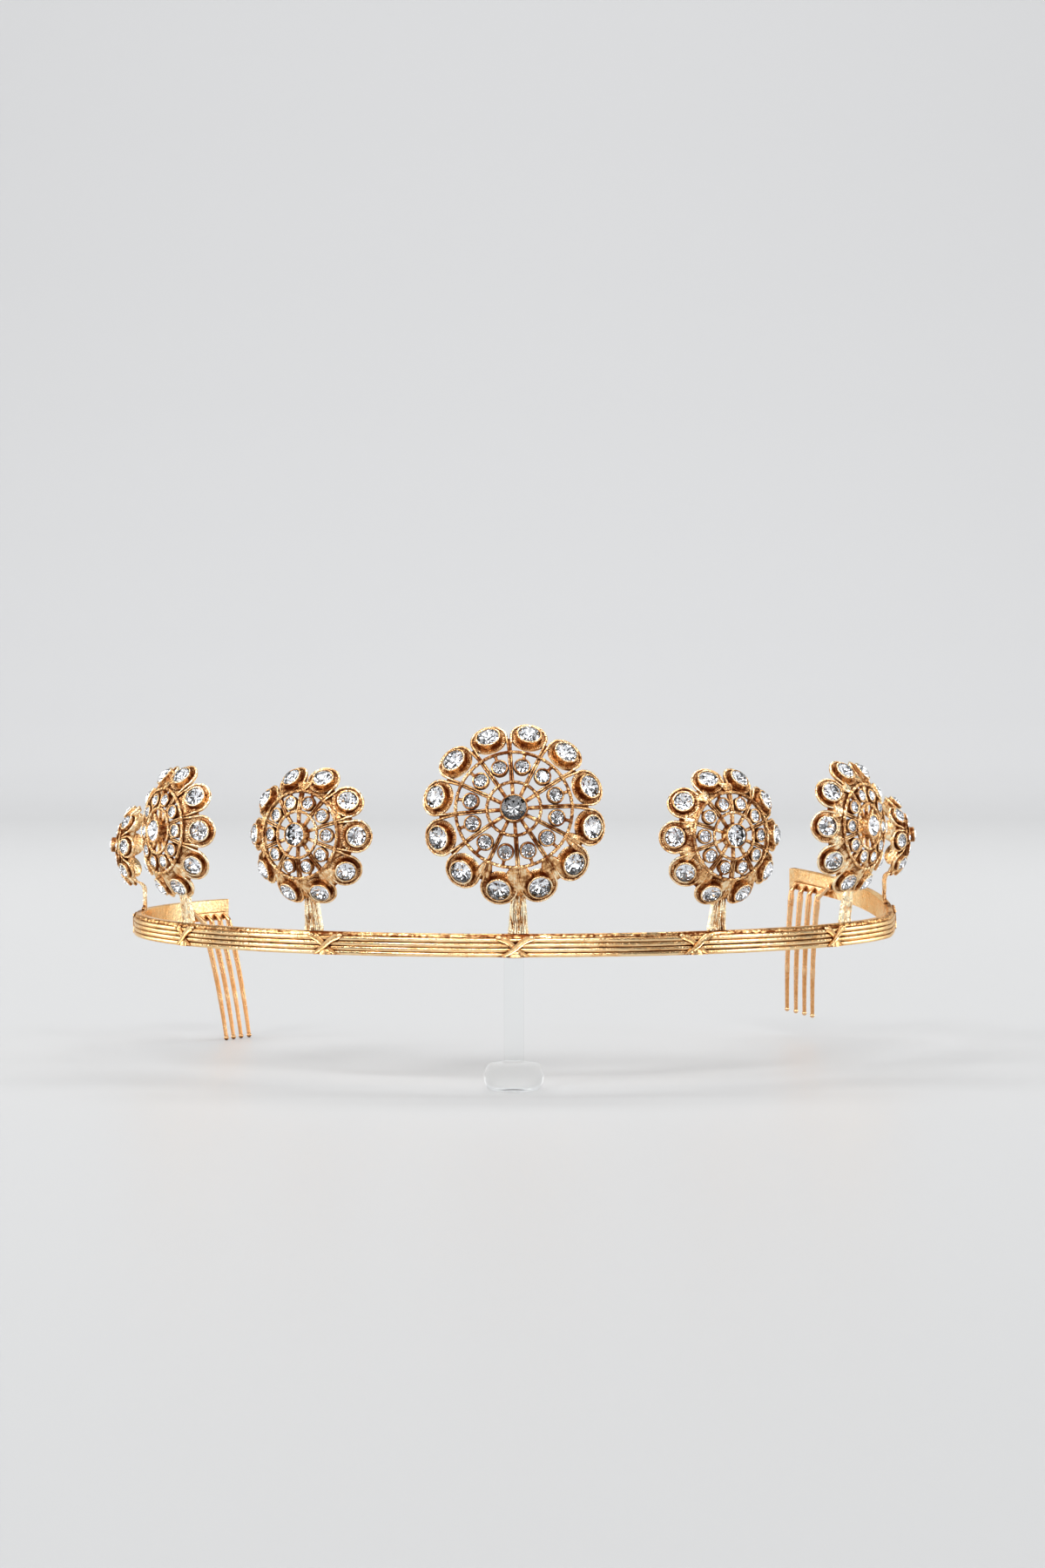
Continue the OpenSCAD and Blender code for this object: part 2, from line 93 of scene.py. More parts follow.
class Kind(NamedTuple):
    """One size of rosette: counts, circles, radii, heights from its outer ring, and angles"""
    petals: int
    first: float
    petal_circle: float
    petal_r: float
    drop: float
    tilt: float
    outer_r: float
    inner_r: float
    inner_rise: float
    cup_circle: float
    hub_stone: float
    petal_stone: float
    cup_stone: float
    hub_rise: float
    lean: float
    rope_r: float
    stem_w: float
    stem_t: float
    ribs: int
    # Angle, width, spread and end of each place where metal has run between two petals
    flooded: tuple


class Place(NamedTuple):
    """A rosette's angle round the band, height, reach from the band's axis and roll, and the
    angle where its stem's foot stands"""
    name: str
    angle: float
    kind: Kind
    height: float
    reach: float
    roll: float
    foot: float


LARGE = Kind(petals=12, first=15, petal_circle=14.0, petal_r=3.48, drop=3.4, tilt=39,
             outer_r=10.5, inner_r=4.86, inner_rise=1.1, cup_circle=8.0, hub_stone=2.23,
             petal_stone=2.0, cup_stone=1.22, hub_rise=2.4, lean=10.7, rope_r=0.27,
             stem_w=3.4, stem_t=1.2, ribs=46,
             flooded=((180, 2.9, 0.9, 15.2), (150, 1.9, 0.8, 14.5), (120, 1.2, 0.5, 13.6),
                      (210, 1.5, 0.45, 13.4)))
MIDDLE = Kind(petals=10, first=18, petal_circle=10.5, petal_r=3.1, drop=2.5, tilt=42,
              outer_r=7.94, inner_r=4.26, inner_rise=0.9, cup_circle=6.1, hub_stone=1.94,
              petal_stone=1.7, cup_stone=1.02, hub_rise=2.0, lean=3, rope_r=0.25,
              stem_w=3.4, stem_t=1.2, ribs=40,
              flooded=((180, 2.5, 1.2, 11.4), (144, 1.9, 1.1, 10.9), (216, 1.9, 1.1, 10.9),
                       (252, 1.2, 0.9, 10.2), (288, 1.0, 0.9, 9.8), (324, 1.0, 0.9, 9.8),
                       (0, 1.0, 0.9, 9.9)))
SMALL = Kind(petals=8, first=0, petal_circle=6.2, petal_r=2.27, drop=1.8, tilt=42,
             outer_r=4.2, inner_r=2.4, inner_rise=0.8, cup_circle=3.45, hub_stone=1.2,
             petal_stone=1.3, cup_stone=0.62, hub_rise=2.0, lean=3, rope_r=0.2,
             stem_w=3.0, stem_t=0.62, ribs=30,
             flooded=((157.5, 1.4, 1.0, 6.3), (202.5, 1.4, 1.0, 6.3)))
PLACES = (
    Place("center", 0, LARGE, 50.8, 77, 4, 0.6),
    Place("left_inner", -30, MIDDLE, 45.9, 78, 0, -29.8),
    Place("right_inner", 30.5, MIDDLE, 45.7, 78, 0, 30.2),
    Place("left_outer", -58.1, MIDDLE, 45.6, 78, 2, -56.4),
    Place("right_outer", 57.6, MIDDLE, 46.5, 78, -2, 57.8),
    Place("left_end", -92, SMALL, 41.1, 77.9, 0, -92),
    Place("right_end", 92, SMALL, 41.7, 77.3, 0, 92),
)


# Placing

def turn(axis, degrees):
    """A turn about an axis through the origin"""
    return Matrix.Rotation(math.radians(degrees), 4, axis)


def smooth(x):
    """Rises from 0 to 1 as x does, level at both ends"""
    x = min(max(x, 0.0), 1.0)
    return x * x * (3 - 2 * x)


def arc(first, last, step):
    """Cosine and sine of each angle from first to last, in whole degrees"""
    return [(math.cos(a), math.sin(a))
            for a in (math.radians(degrees) for degrees in range(first, last + 1, step))]


def ring_of(count, radius, height, offset=0.0):
    """Evenly spaced points round Z, turned by a share of their step"""
    return [Vector((radius * math.cos(a), radius * math.sin(a), height))
            for a in (2 * math.pi * (k + offset) / count for k in range(count))]


def angle_of(point):
    """Degrees round the band from its front, growing to the right"""
    return math.degrees(math.atan2(point.x, -point.y))


def bend(angle):
    """How the band's right end is bent upwards, as it has come by an angle round it"""
    lifted = Matrix()
    for middle in BENDS:
        share = smooth((angle - middle + BEND_HALF) / (2 * BEND_HALF))
        pivot = turn("Z", middle) @ Matrix.Translation((0, 0, BAND_Z + BAND_H / 2))
        lifted = lifted @ pivot @ turn("Y", -share * BEND_RISE / len(BENDS)) @ pivot.inverted()
    return lifted


def from_axis():
    """Millimetres from the axis of the band to metres"""
    return Matrix.Scale(MM, 4) @ Matrix.Translation(CIRCLE)


def on_band(angle):
    """Millimetres at the front of the band to metres at an angle round it"""
    return from_axis() @ bend(angle) @ turn("Z", angle)


def in_rosette(place):
    """The rosette's own frame: X right, Y up and Z outwards"""
    return (on_band(place.angle) @ Matrix.Translation((0, -place.reach, place.height))
            @ turn("X", 90 - place.kind.lean) @ turn("Z", place.roll))


def on_petal(kind):
    """The frame of the topmost petal's plate, before it is turned round the hub"""
    return Matrix.Translation((0, kind.petal_circle, -kind.drop)) @ turn("X", -kind.tilt)


def on_cup(kind):
    """The frame of the topmost cup's rim"""
    return Matrix.Translation((0, kind.cup_circle, CUP_H / 2)) @ turn("X", -CUP_TILT)


def cone_z(kind, radius):
    """Height of the cone that the petals' plates lie on"""
    return -kind.drop + (kind.petal_circle - radius) * math.tan(math.radians(kind.tilt))


# Shapes

class Shape:
    """Points and faces under way, with how deep in a recess each point lies"""

    def __init__(self):
        self.points = []
        self.faces = []
        self.recess = []
        self.slots = []

    def add(self, points, faces, recess=None, slot=0):
        """Adds points, the faces between them and the points' recess, or none"""
        start = len(self.points)
        self.points.extend(Vector(p) for p in points)
        self.faces.extend(tuple(start + i for i in face) for face in faces)
        self.recess.extend(recess or [0.0] * len(points))
        self.slots.extend([slot] * len(faces))
        return self

    def add_sweep(self, sections, recess, closed=False):
        """Joins equal rings of points; each runs anticlockwise seen against the sweep"""
        n = len(sections[0])
        points = [p for section in sections for p in section]
        faces = []
        for i in range(len(sections) if closed else len(sections) - 1):
            a, b = i * n, ((i + 1) % len(sections)) * n
            for k in range(n):
                m = (k + 1) % n
                faces.append((a + k, a + m, b + m, b + k))
        if not closed:
            faces.append(tuple(range(n - 1, -1, -1)))
            faces.append(tuple(range(len(points) - n, len(points))))
        return self.add(points, faces, recess)

    def add_tube(self, path, radii, recess, sides=8):
        """A round wire along a path, with a radius and a recess for each point"""
        sections = []
        normal = None
        for i, here in enumerate(path):
            along = (path[min(i + 1, len(path) - 1)] - path[max(i - 1, 0)]).normalized()
            if normal is None:
                normal = along.orthogonal().normalized()
            normal = (normal - normal.dot(along) * along).normalized()
            side = along.cross(normal)
            sections.append([
                here + radii[i] * (math.cos(a) * normal + math.sin(a) * side)
                for a in (2 * math.pi * k / sides for k in range(sides))])
        return self.add_sweep(sections, [value for value in recess for _ in range(sides)])

    def add_lathe(self, profile, segments=40):
        """Turns (radius, height, recess) rows about Z, from the back to the front"""
        rings = []
        for radius, height, recess in profile:
            count = segments if radius > 1e-6 else 1
            rings.append(list(range(len(self.points), len(self.points) + count)))
            self.points.extend(ring_of(count, radius, height))
            self.recess.extend([recess] * count)
        for low, high in zip(rings, rings[1:]):
            for k in range(segments):
                m = (k + 1) % segments
                corners = (low[k % len(low)], low[m % len(low)],
                           high[m % len(high)], high[k % len(high)])
                # Two of the corners are one where a ring is a single point
                self.faces.append(tuple(dict.fromkeys(corners)))
                self.slots.append(0)
        return self

    def add_ring(self, section, segments):
        """Turns a closed (radius, height, recess) section about Z"""
        rings = [ring_of(segments, radius, height) for radius, height, _ in section]
        recess = [row[2] for row in section] * segments
        return self.add_sweep(list(zip(*rings)), recess, closed=True)

    def add_rib(self, rows, thickness, recess):
        """A bar along Y with a rounded top, through (y, top, half width) rows"""
        sections = []
        for y, top, half in rows:
            soft = min(0.16, 0.5 * half)
            sections.append([(-half, y, top - thickness), (half, y, top - thickness),
                             (half, y, top - soft), (half - 0.35 * soft, y, top - 0.35 * soft),
                             (0.4 * half, y, top), (-0.4 * half, y, top),
                             (0.35 * soft - half, y, top - 0.35 * soft), (-half, y, top - soft)])
        row_recess = [0.6, 0.6, 0.5, recess, recess, recess, recess, 0.5]
        return self.add_sweep(sections, row_recess * len(rows))

    def add_mesh(self, mesh):
        """Adds a mesh, with its recess if it has one"""
        recess = [0.0] * len(mesh.vertices)
        layer = mesh.attributes.get("recess")
        if layer is not None:
            layer.data.foreach_get("value", recess)
        return self.add([v.co for v in mesh.vertices],
                        [tuple(p.vertices) for p in mesh.polygons], recess)

    def add_shape(self, other, matrix=Matrix(), slot=0):
        """Adds another shape, put in place by a matrix"""
        return self.add([matrix @ p for p in other.points], other.faces, other.recess, slot)

    def darkened(self, more):
        """Takes every point deeper, or less deep, into a recess"""
        self.recess = [value + more for value in self.recess]
        return self

    def bend(self):
        """Bends what goes round the band, its points in millimetres from the band's axis"""
        for i, point in enumerate(self.points):
            angle = angle_of(point)
            if angle > BENDS[0] - BEND_HALF:
                self.points[i] = bend(angle) @ point
        return self

    def mesh(self, name, matrix=Matrix()):
        """A new mesh with the shape's points, faces, recess and material slots"""
        mesh = bpy.data.meshes.new(name)
        mesh.from_pydata([matrix @ p for p in self.points], [], self.faces)
        set_recess(mesh, self.recess)
        mesh.polygons.foreach_set("material_index", self.slots)
        return mesh


def set_recess(mesh, values):
    """Keeps how deep each point lies, for the gilding to read"""
    mesh.attributes.new("recess", "FLOAT", "POINT").data.foreach_set("value", values)


def new_object(name, data):
    """An object in the scene, at the origin"""
    made = bpy.data.objects.new(name, data)
    bpy.context.scene.collection.objects.link(made)
    return made


def finish_piece(name, shape, matrix, node, materials, sharp=38, merge=0.0):
    """Makes a piece at the origin from a shape in millimetres, in place of a node"""
    mesh = shape.mesh(name, matrix)
    bm = bmesh.new()
    bm.from_mesh(mesh)
    if merge:
        bmesh.ops.remove_doubles(bm, verts=bm.verts, dist=merge * MM)
    bmesh.ops.recalc_face_normals(bm, faces=bm.faces)
    bm.to_mesh(mesh)
    bm.free()
    for material in materials:
        mesh.materials.append(material)
    if sharp:
        mesh.shade_smooth()
        mesh.set_sharp_from_angle(angle=math.radians(sharp))
    piece = new_object(name, mesh)
    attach(piece, BODY)
    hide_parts(node)


# Nodes

def set_inputs(tree, node, values):
    """Sets or links a node's inputs by label, or by number as _0 and _1"""
    for label, value in values.items():
        socket = node.inputs[int(label[1:])] if label[0] == "_" else node.inputs[label]
        if isinstance(value, NodeSocket):
            tree.links.new(value, socket)
        else:
            socket.default_value = value


def add_node(tree, kind, settings=None, **inputs):
    """A new node with its own settings, and its inputs set or linked"""
    made = tree.nodes.new(kind)
    for key, value in (settings or {}).items():
        setattr(made, key, value)
    set_inputs(tree, made, inputs)
    return made


def add_math(tree, operation, *values):
    """The result of one sum on numbers or other nodes' results"""
    return add_node(tree, "ShaderNodeMath", {"operation": operation},
                    **{f"_{i}": value for i, value in enumerate(values)}).outputs[0]


# Geometry Nodes

class Tree:
    """A node tree under way, with short words for its parts"""

    def __init__(self, name, inputs):
        self.group = bpy.data.node_groups.new(name, "GeometryNodeTree")
        face = self.group.interface
        face.new_socket("Geometry", in_out="INPUT", socket_type="NodeSocketGeometry")
        for label, kind, default in (*inputs, ("Material", "Material", None)):
            socket = face.new_socket(label, in_out="INPUT", socket_type="NodeSocket" + kind)
            if default is not None:
                socket.default_value = default
        face.new_socket("Geometry", in_out="OUTPUT", socket_type="NodeSocketGeometry")
        self.given = self.node("NodeGroupInput").outputs

    def node(self, kind, settings=None, **inputs):
        """A new node in this tree"""
        return add_node(self.group, kind, settings, **inputs)

    def out(self, kind, settings=None, **inputs):
        """The first result of a new node"""
        return self.node(kind, settings, **inputs).outputs[0]

    def math(self, operation, *values):
        """The result of one sum"""
        return add_math(self.group, operation, *values)

    def vector_math(self, operation, **inputs):
        """The result of one sum on vectors"""
        return self.out("ShaderNodeVectorMath", {"operation": operation}, **inputs)

    def vector(self, x, y, z):
        """A vector from three numbers or results"""
        return self.out("ShaderNodeCombineXYZ", X=x, Y=y, Z=z)

    def finish(self, geometry):
        """Makes instances real, sets the material and gives the finished tree"""
        real = self.out("GeometryNodeRealizeInstances", Geometry=geometry)
        dressed = self.out("GeometryNodeSetMaterial", Geometry=real,
                           Material=self.given["Material"])
        self.node("NodeGroupOutput", Geometry=dressed)
        return self.group


def copies_tree():
    """Turns copies of a piece about Z, clockwise as seen from the front"""
    tree = Tree("Copies round an axis", (
        ("Piece", "Object", None), ("Count", "Int", 12), ("First", "Float", 0.0),
        ("Step", "Float", 30.0)))
    points = tree.out("GeometryNodePoints", Count=tree.given["Count"])
    index = tree.out("GeometryNodeInputIndex")
    degrees = tree.math("ADD", tree.given["First"],
                        tree.math("MULTIPLY", index, tree.given["Step"]))
    spin = tree.vector(0.0, 0.0, tree.math("MULTIPLY", degrees, -math.pi / 180))
    piece = tree.node("GeometryNodeObjectInfo", Object=tree.given["Piece"]).outputs["Geometry"]
    return tree.finish(tree.out("GeometryNodeInstanceOnPoints", Points=points, Instance=piece,
                                Rotation=spin))


def rope_tree():
    """Two wires twisted together along a ring, with eight points to a twist"""
    tree = Tree("Twisted ring", (
        ("Radius", "Float", 10.0), ("Wire", "Float", 0.3), ("Twists", "Int", 80)))
    resolution = tree.math("MULTIPLY", tree.given["Twists"], 8.0)
    thin = tree.math("MULTIPLY", tree.given["Wire"], 0.8)
    offset = tree.math("MULTIPLY", tree.given["Wire"], 0.27)
    both = tree.node("GeometryNodeJoinGeometry")
    for phase in (0.0, math.pi):
        ring = tree.out("GeometryNodeCurvePrimitiveCircle", Resolution=resolution,
                        Radius=tree.given["Radius"])
        index = tree.out("GeometryNodeInputIndex")
        angle = tree.math("ADD", tree.math("MULTIPLY", index, math.pi / 4), phase)
        outward = tree.math("MULTIPLY", tree.math("COSINE", angle), offset)
        rise = tree.math("MULTIPLY", tree.math("SINE", angle), offset)
        radial = tree.vector_math("NORMALIZE", _0=tree.out("GeometryNodeInputPosition"))
        push = tree.vector_math("SCALE", _0=radial, Scale=outward)
        lift = tree.vector_math("ADD", _0=push, _1=tree.vector(0.0, 0.0, rise))
        wound = tree.out("GeometryNodeSetPosition", Geometry=ring, Offset=lift)
        section = tree.out("GeometryNodeCurvePrimitiveCircle", Resolution=6, Radius=thin)
        strand = tree.out("GeometryNodeCurveToMesh", Curve=wound, _1=section)
        tree.group.links.new(strand, both.inputs[0])
    return tree.finish(both.outputs[0])


def band_tree():
    """Sweeps an outline along an arc about Z, whose angles are in degrees"""
    tree = Tree("Swept band", (
        ("Outline", "Object", None), ("Radius", "Float", 75.0), ("Start", "Float", 0.0),
        ("Sweep", "Float", 255.0), ("Steps", "Int", 360)))
    angles = {label + " Angle": tree.math("MULTIPLY", tree.given[label], math.pi / 180)
              for label in ("Start", "Sweep")}
    path = tree.out("GeometryNodeCurveArc", Resolution=tree.given["Steps"],
                    Radius=tree.given["Radius"], **angles)
    outline = tree.node("GeometryNodeObjectInfo", Object=tree.given["Outline"]).outputs["Geometry"]
    section = tree.out("GeometryNodeMeshToCurve", Mesh=outline)
    return tree.finish(tree.out("GeometryNodeCurveToMesh", Curve=path, _1=section,
                                **{"Fill Caps": True}))


def run_tree(name, values):
    """Runs a tree on an empty mesh and gives its result as a new shape"""
    group = bpy.data.node_groups.get(name) or TREES[name]()
    holder = new_object("holder", bpy.data.meshes.new("holder"))
    modifier = holder.modifiers.new("Nodes", "NODES")
    modifier.node_group = group
    for item in group.interface.items_tree:
        if item.in_out == "INPUT" and item.name in values:
            modifier[item.identifier] = values[item.name]
    graph = bpy.context.evaluated_depsgraph_get()
    mesh = bpy.data.meshes.new_from_object(holder.evaluated_get(graph), depsgraph=graph)
    holder.modifiers.remove(modifier)
    bpy.data.objects.remove(holder)
    shape = Shape().add_mesh(mesh)
    bpy.data.meshes.remove(mesh)
    return shape


def copies(shape, count, first, step, material):
    """Copies of a shape turned about Z by the node tree, as a new shape"""
    piece = new_object("pattern", shape.mesh("pattern"))
    result = run_tree("Copies round an axis", {
        "Piece": piece, "Count": count, "First": float(first), "Step": float(step),
        "Material": material})
    bpy.data.objects.remove(piece)
    return result


TREES = {"Copies round an axis": copies_tree, "Twisted ring": rope_tree, "Swept band": band_tree}


# Materials

# How much its recess, coarse clouds and fine clouds add to a point's darkening, and the
# browning of a plain point in the open; the recess darkens with tarnish and painted shade
RECESS_SHARE = 0.55
COARSE_SHARE = 1.3
FINE_SHARE = 1.2
OPEN_BROWNING = 0.65
# Scale and detail of the clouds, and of the grain that makes the surface rough
COARSE_CLOUDS = (380, 5)
FINE_CLOUDS = (1700, 3)
COARSE_GRAIN = (1100, 2)
FINE_GRAIN = (2600, 4)
# The ramp ends at 1 and the darkening at about 1.5, so the ramp gets this share of it
RAMP_SHARE = 0.68
# Where on the ramp the bright and the middle colour lie
RAMP_BRIGHT = 0.45
RAMP_MIDDLE = 0.72
# Gilding gets rougher from the one darkening to the other, by so much
ROUGHER_FROM, ROUGHER_TO, ROUGHER_BY = 0.7, 1.5, 0.25


def finishes():
    """The settings of the wires and the gilding"""
    return bpy.context.scene.tiara_finish


def new_material(name, values):
    """A new material, with these values on its shader"""
    material = bpy.data.materials.new(name)
    material.use_nodes = True
    set_shader(material.node_tree, values)
    return material


def set_shader(tree, values):
    """Sets or links inputs of a material's shader"""
    set_inputs(tree, tree.nodes["Principled BSDF"], values)


def add_ramp(tree, value, first, between, last):
    """A colour ramp through (position, colour) stops"""
    ramp = add_node(tree, "ShaderNodeValToRGB", Fac=value)
    stops = ramp.color_ramp.elements
    for stop, (position, colour) in ((stops[0], first), (stops[1], last)):
        stop.position, stop.color = position, (*colour, 1)
    for position, colour in between:
        stops.new(position).color = (*colour, 1)
    return ramp.outputs["Color"]


def add_range(tree, value, from_min, from_max, to_min=0.0, to_max=1.0):
    """A value moved from one range to another, and held inside it"""
    return add_node(tree, "ShaderNodeMapRange", Value=value, **{
        "From Min": from_min, "From Max": from_max, "To Min": to_min,
        "To Max": to_max}).outputs[0]


def gilt(name, colours, roughness, grain, browning, mottle, shelter):
    """Old gilding: bright on what stands proud, browned by tarnish where polish never reaches,
    with painted shade darkening its recesses and what lies near other metal
    """
    bright, middle, dark = colours
    material = new_material(name, {"Metallic": 1.0, "Specular Tint": (1.0, 0.84, 0.6, 1)})
    tree = material.node_tree
    place = add_node(tree, "ShaderNodeTexCoord").outputs["Object"]

    def clouds(scale, detail):
        """Noise in the piece's own frame"""
        return add_node(tree, "ShaderNodeTexNoise", Vector=place, Scale=scale,
                        Detail=detail).outputs["Fac"]

    depth = add_node(tree, "ShaderNodeAttribute", {"attribute_name": "recess"}).outputs["Fac"]
    # Painted shade: what lies nearer than the shelter's length darkens a point's colour
    open_sky = add_node(tree, "ShaderNodeAmbientOcclusion", {"samples": 6},
                        Distance=shelter * MM).outputs["AO"]
    # Both clouds lie round a half, which is taken off again
    clouded = 0.5 * (COARSE_SHARE + FINE_SHARE) * mottle
    darkened = add_math(tree, "SUBTRACT", 1 + OPEN_BROWNING + browning - clouded, open_sky)
    for value, share in ((depth, RECESS_SHARE), (clouds(*COARSE_CLOUDS), COARSE_SHARE * mottle),
                         (clouds(*FINE_CLOUDS), FINE_SHARE * mottle)):
        darkened = add_math(tree, "MULTIPLY_ADD", value, share, darkened)
    colour = add_ramp(tree, add_math(tree, "MULTIPLY", darkened, RAMP_SHARE),
                      (RAMP_BRIGHT, bright), ((RAMP_MIDDLE, middle),), (1.0, dark))
    height = add_math(tree, "MULTIPLY_ADD", clouds(*FINE_GRAIN), 0.6, clouds(*COARSE_GRAIN))
    bump = add_node(tree, "ShaderNodeBump", Strength=grain, Distance=0.25 * MM, Height=height)
    set_shader(tree, {
        "Base Color": colour, "Normal": bump.outputs["Normal"],
        "Roughness": add_range(tree, darkened, ROUGHER_FROM, ROUGHER_TO, roughness,
                               roughness + ROUGHER_BY)})
    return material


def rosette_gilt():
    """Mottled gilding of the rosettes and their stems"""
    tone = finishes()
    return gilt("rosette_gilding", (tone.bright, tone.middle, tone.dark), roughness=0.13,
                grain=0.85, browning=0.17, mottle=1.15, shelter=1.4)


def band_gilt():
    """Cleaner gilding of the band"""
    tone = finishes()
    return gilt("band_gilding", (tone.band, tone.middle, tone.dark), roughness=0.17,
                grain=0.3, browning=0.05, mottle=0.6, shelter=0.6)


def comb_gilt():
    """Paler, satin gilding of the combs"""
    tone = finishes()
    return gilt("satin_gilding", (tone.satin, tone.satin_middle, tone.satin_dark),
                roughness=0.2, grain=0.25, browning=0.0, mottle=0.45, shelter=1.4)


def crystal():
    """Clear paste"""
    return new_material("paste_crystal", {
        "Base Color": (0.97, 0.98, 1.0, 1), "Roughness": 0.0, "IOR": 1.62,
        "Transmission Weight": 1.0})


def foil(name, shade):
    """Silvery foil behind a stone, the duller the lower its shade"""
    return new_material(name, {
        "Base Color": (shade, 1.01 * shade, 1.03 * shade, 1), "Metallic": 1.0,
        "Roughness": 0.04})


def acrylic():
    """Clear acrylic, faint in the light of the stage"""
    return new_material("prop_acrylic", {
        "Base Color": (0.97, 0.98, 0.98, 1), "Roughness": 0.02, "IOR": 1.05,
        "Transmission Weight": 1.0})


def floor_white():
    """Pale floor, a little darker to the front, where more of the light falls on it"""
    material = new_material("pale_floor", {"Roughness": 0.4, "Specular IOR Level": 0.25})
    tree = material.node_tree
    place = add_node(tree, "ShaderNodeTexCoord").outputs["Object"]
    split = add_node(tree, "ShaderNodeSeparateXYZ", _0=place)
    along = add_range(tree, split.outputs["Y"], -0.5, 2.0)
    set_shader(tree, {"Base Color": add_ramp(
        tree, along, (0.0, (0.425, 0.43, 0.435)),
        ((0.16, (0.475, 0.48, 0.485)), (0.72, (0.49, 0.495, 0.5))),
        (0.84, (0.565, 0.57, 0.58)))})
    return material


# Stones

# Shares of a stone's radius, or of its crown's height or its back's depth
TABLE_SHARE = 0.56
CROWN_SHARE = 0.32
KITE_SHARE = 0.76
KITE_RISE = 0.58
GIRDLE_SHARE = 0.1
PAVILION_SHARE = 0.62
KNEE_SHARE = 0.52
KNEE_DROP = 0.62
# The deepest back, in millimetres
PAVILION_MAX = 1.02
# Hub stones lie this much lower than in the solids, so that none passes their box
STONE_SINK = 0.01


def pavilion_depth(radius):
    """Depth of a stone's back below its girdle"""
    return min(PAVILION_SHARE * radius, PAVILION_MAX)


def stone_crown(radius):
    """Table, kites and girdle of a brilliant with eight main facets, open below"""
    height = CROWN_SHARE * radius
    points = (ring_of(8, TABLE_SHARE * radius, height)
              + ring_of(8, KITE_SHARE * radius, KITE_RISE * height, 0.5)
              + ring_of(16, radius, 0.0) + ring_of(16, radius, -GIRDLE_SHARE * radius))
    kite, rim, belt = 8, 16, 32
    faces = [tuple(range(8))]
    for k in range(8):
        after, before = (k + 1) % 8, (k - 1) % 8
        left, mid, right = rim + 2 * k, rim + 2 * k + 1, rim + (2 * k + 2) % 16
        faces += [(k, kite + k, after), (k, kite + before, left, kite + k),
                  (kite + k, left, mid), (kite + k, mid, right)]
    for k in range(16):
        after = (k + 1) % 16
        faces.append((belt + k, belt + after, rim + after, rim + k))
    return Shape().add(points, faces)


def stone_back(radius):
    """Foiled back of the same stone, open above"""
    girdle, depth = GIRDLE_SHARE * radius, pavilion_depth(radius)
    points = (ring_of(16, radius, -girdle)
              + ring_of(8, KNEE_SHARE * radius, -girdle - KNEE_DROP * depth, 0.5)
              + [Vector((0, 0, -girdle - depth))])
    knee, culet = 16, 24
    faces = []
    for k in range(8):
        left, mid, right = 2 * k, 2 * k + 1, (2 * k + 2) % 16
        faces += [(left, knee + k, mid), (mid, knee + k, right),
                  (left, knee + (k - 1) % 8, culet, knee + k)]
    return Shape().add(points, faces)


def set_stones(name, node, place, matrix, radius, materials, count=1, first=0.0, step=0.0):
    """Stones turned round a rosette's axis, in place of one node"""
    shape = Shape()
    for slot, half in enumerate((stone_crown(radius), stone_back(radius))):
        seated = Shape().add_shape(half, matrix)
        shape.add_shape(copies(seated, count, first, step, materials[slot]), slot=slot)
    finish_piece(name, shape, in_rosette(place), node, materials,
                 sharp=0, merge=0.002)


# Parts of a rosette

def collet_profile(stone_r, outer_r, top, base, worn=0.0):
    """Inner and outer wall of a collet, from its foot outside to the seat's floor"""
    floor = top - GIRDLE_SHARE * stone_r - pavilion_depth(stone_r) - GAP
    return [
        (outer_r + 0.05, base, 0.9), (outer_r - 0.02, base + 0.15, 0.45),
        (outer_r - 0.04, top - 0.24, 0.3 + worn), (outer_r - 0.01, top - 0.16, 0.05 + worn),
        (outer_r, top - 0.08, worn), (outer_r - 0.05, top, worn),
        (0.5 * (outer_r + stone_r) + 0.06, top + 0.03, worn),
        (stone_r + 0.05, top, 0.25 + worn), (stone_r + 0.03, top - 0.06, 0.9),
        (stone_r + 0.03, floor + 0.3, 1.0), (0.4 * stone_r, floor, 1.0), (0, floor, 1.0)]


def petal_plate(kind, material):
    """Round plate with milled ribs round its collet, in the plate's own frame"""
    rim = kind.petal_r - finishes().rim_wire
    outer = kind.petal_stone + STONE_PLAY + 0.75 * COLLET_WALL
    plate = Shape().add_lathe([
        (0, -PLATE_T, 0.3), (0.9 * rim, -PLATE_T, 0.3), (rim - 0.04, -0.8 * PLATE_T, 0.3),
        (rim, -0.5 * PLATE_T, 0.3), (rim, -0.05, 0.4), (rim - 0.16, -0.07, 0.3),
        (outer + 0.12, -0.12, 0.35)]
        + collet_profile(kind.petal_stone, outer, top=COLLET_H, base=-0.12), segments=44)
    # A rib is two thirds as wide as the way to the next
    share = 0.33 * math.pi / kind.ribs
    sections = []
    for y, top in ((rim + 0.02, 0.03), (0.5 * (outer + rim), 0.0), (outer + 0.1, -0.08)):
        half = 2 * y * share
        sections.append([(-half, y, top - 0.15), (half, y, top - 0.15),
                         (0.7 * half, y, top - 0.03), (0, y, top), (-0.7 * half, y, top - 0.03)])
    rib = Shape().add_sweep(sections, [0.4, 0.4, 0.1, 0.0, 0.1] * 3)
    return plate.add_shape(copies(rib, kind.ribs, 0, 360 / kind.ribs, material))


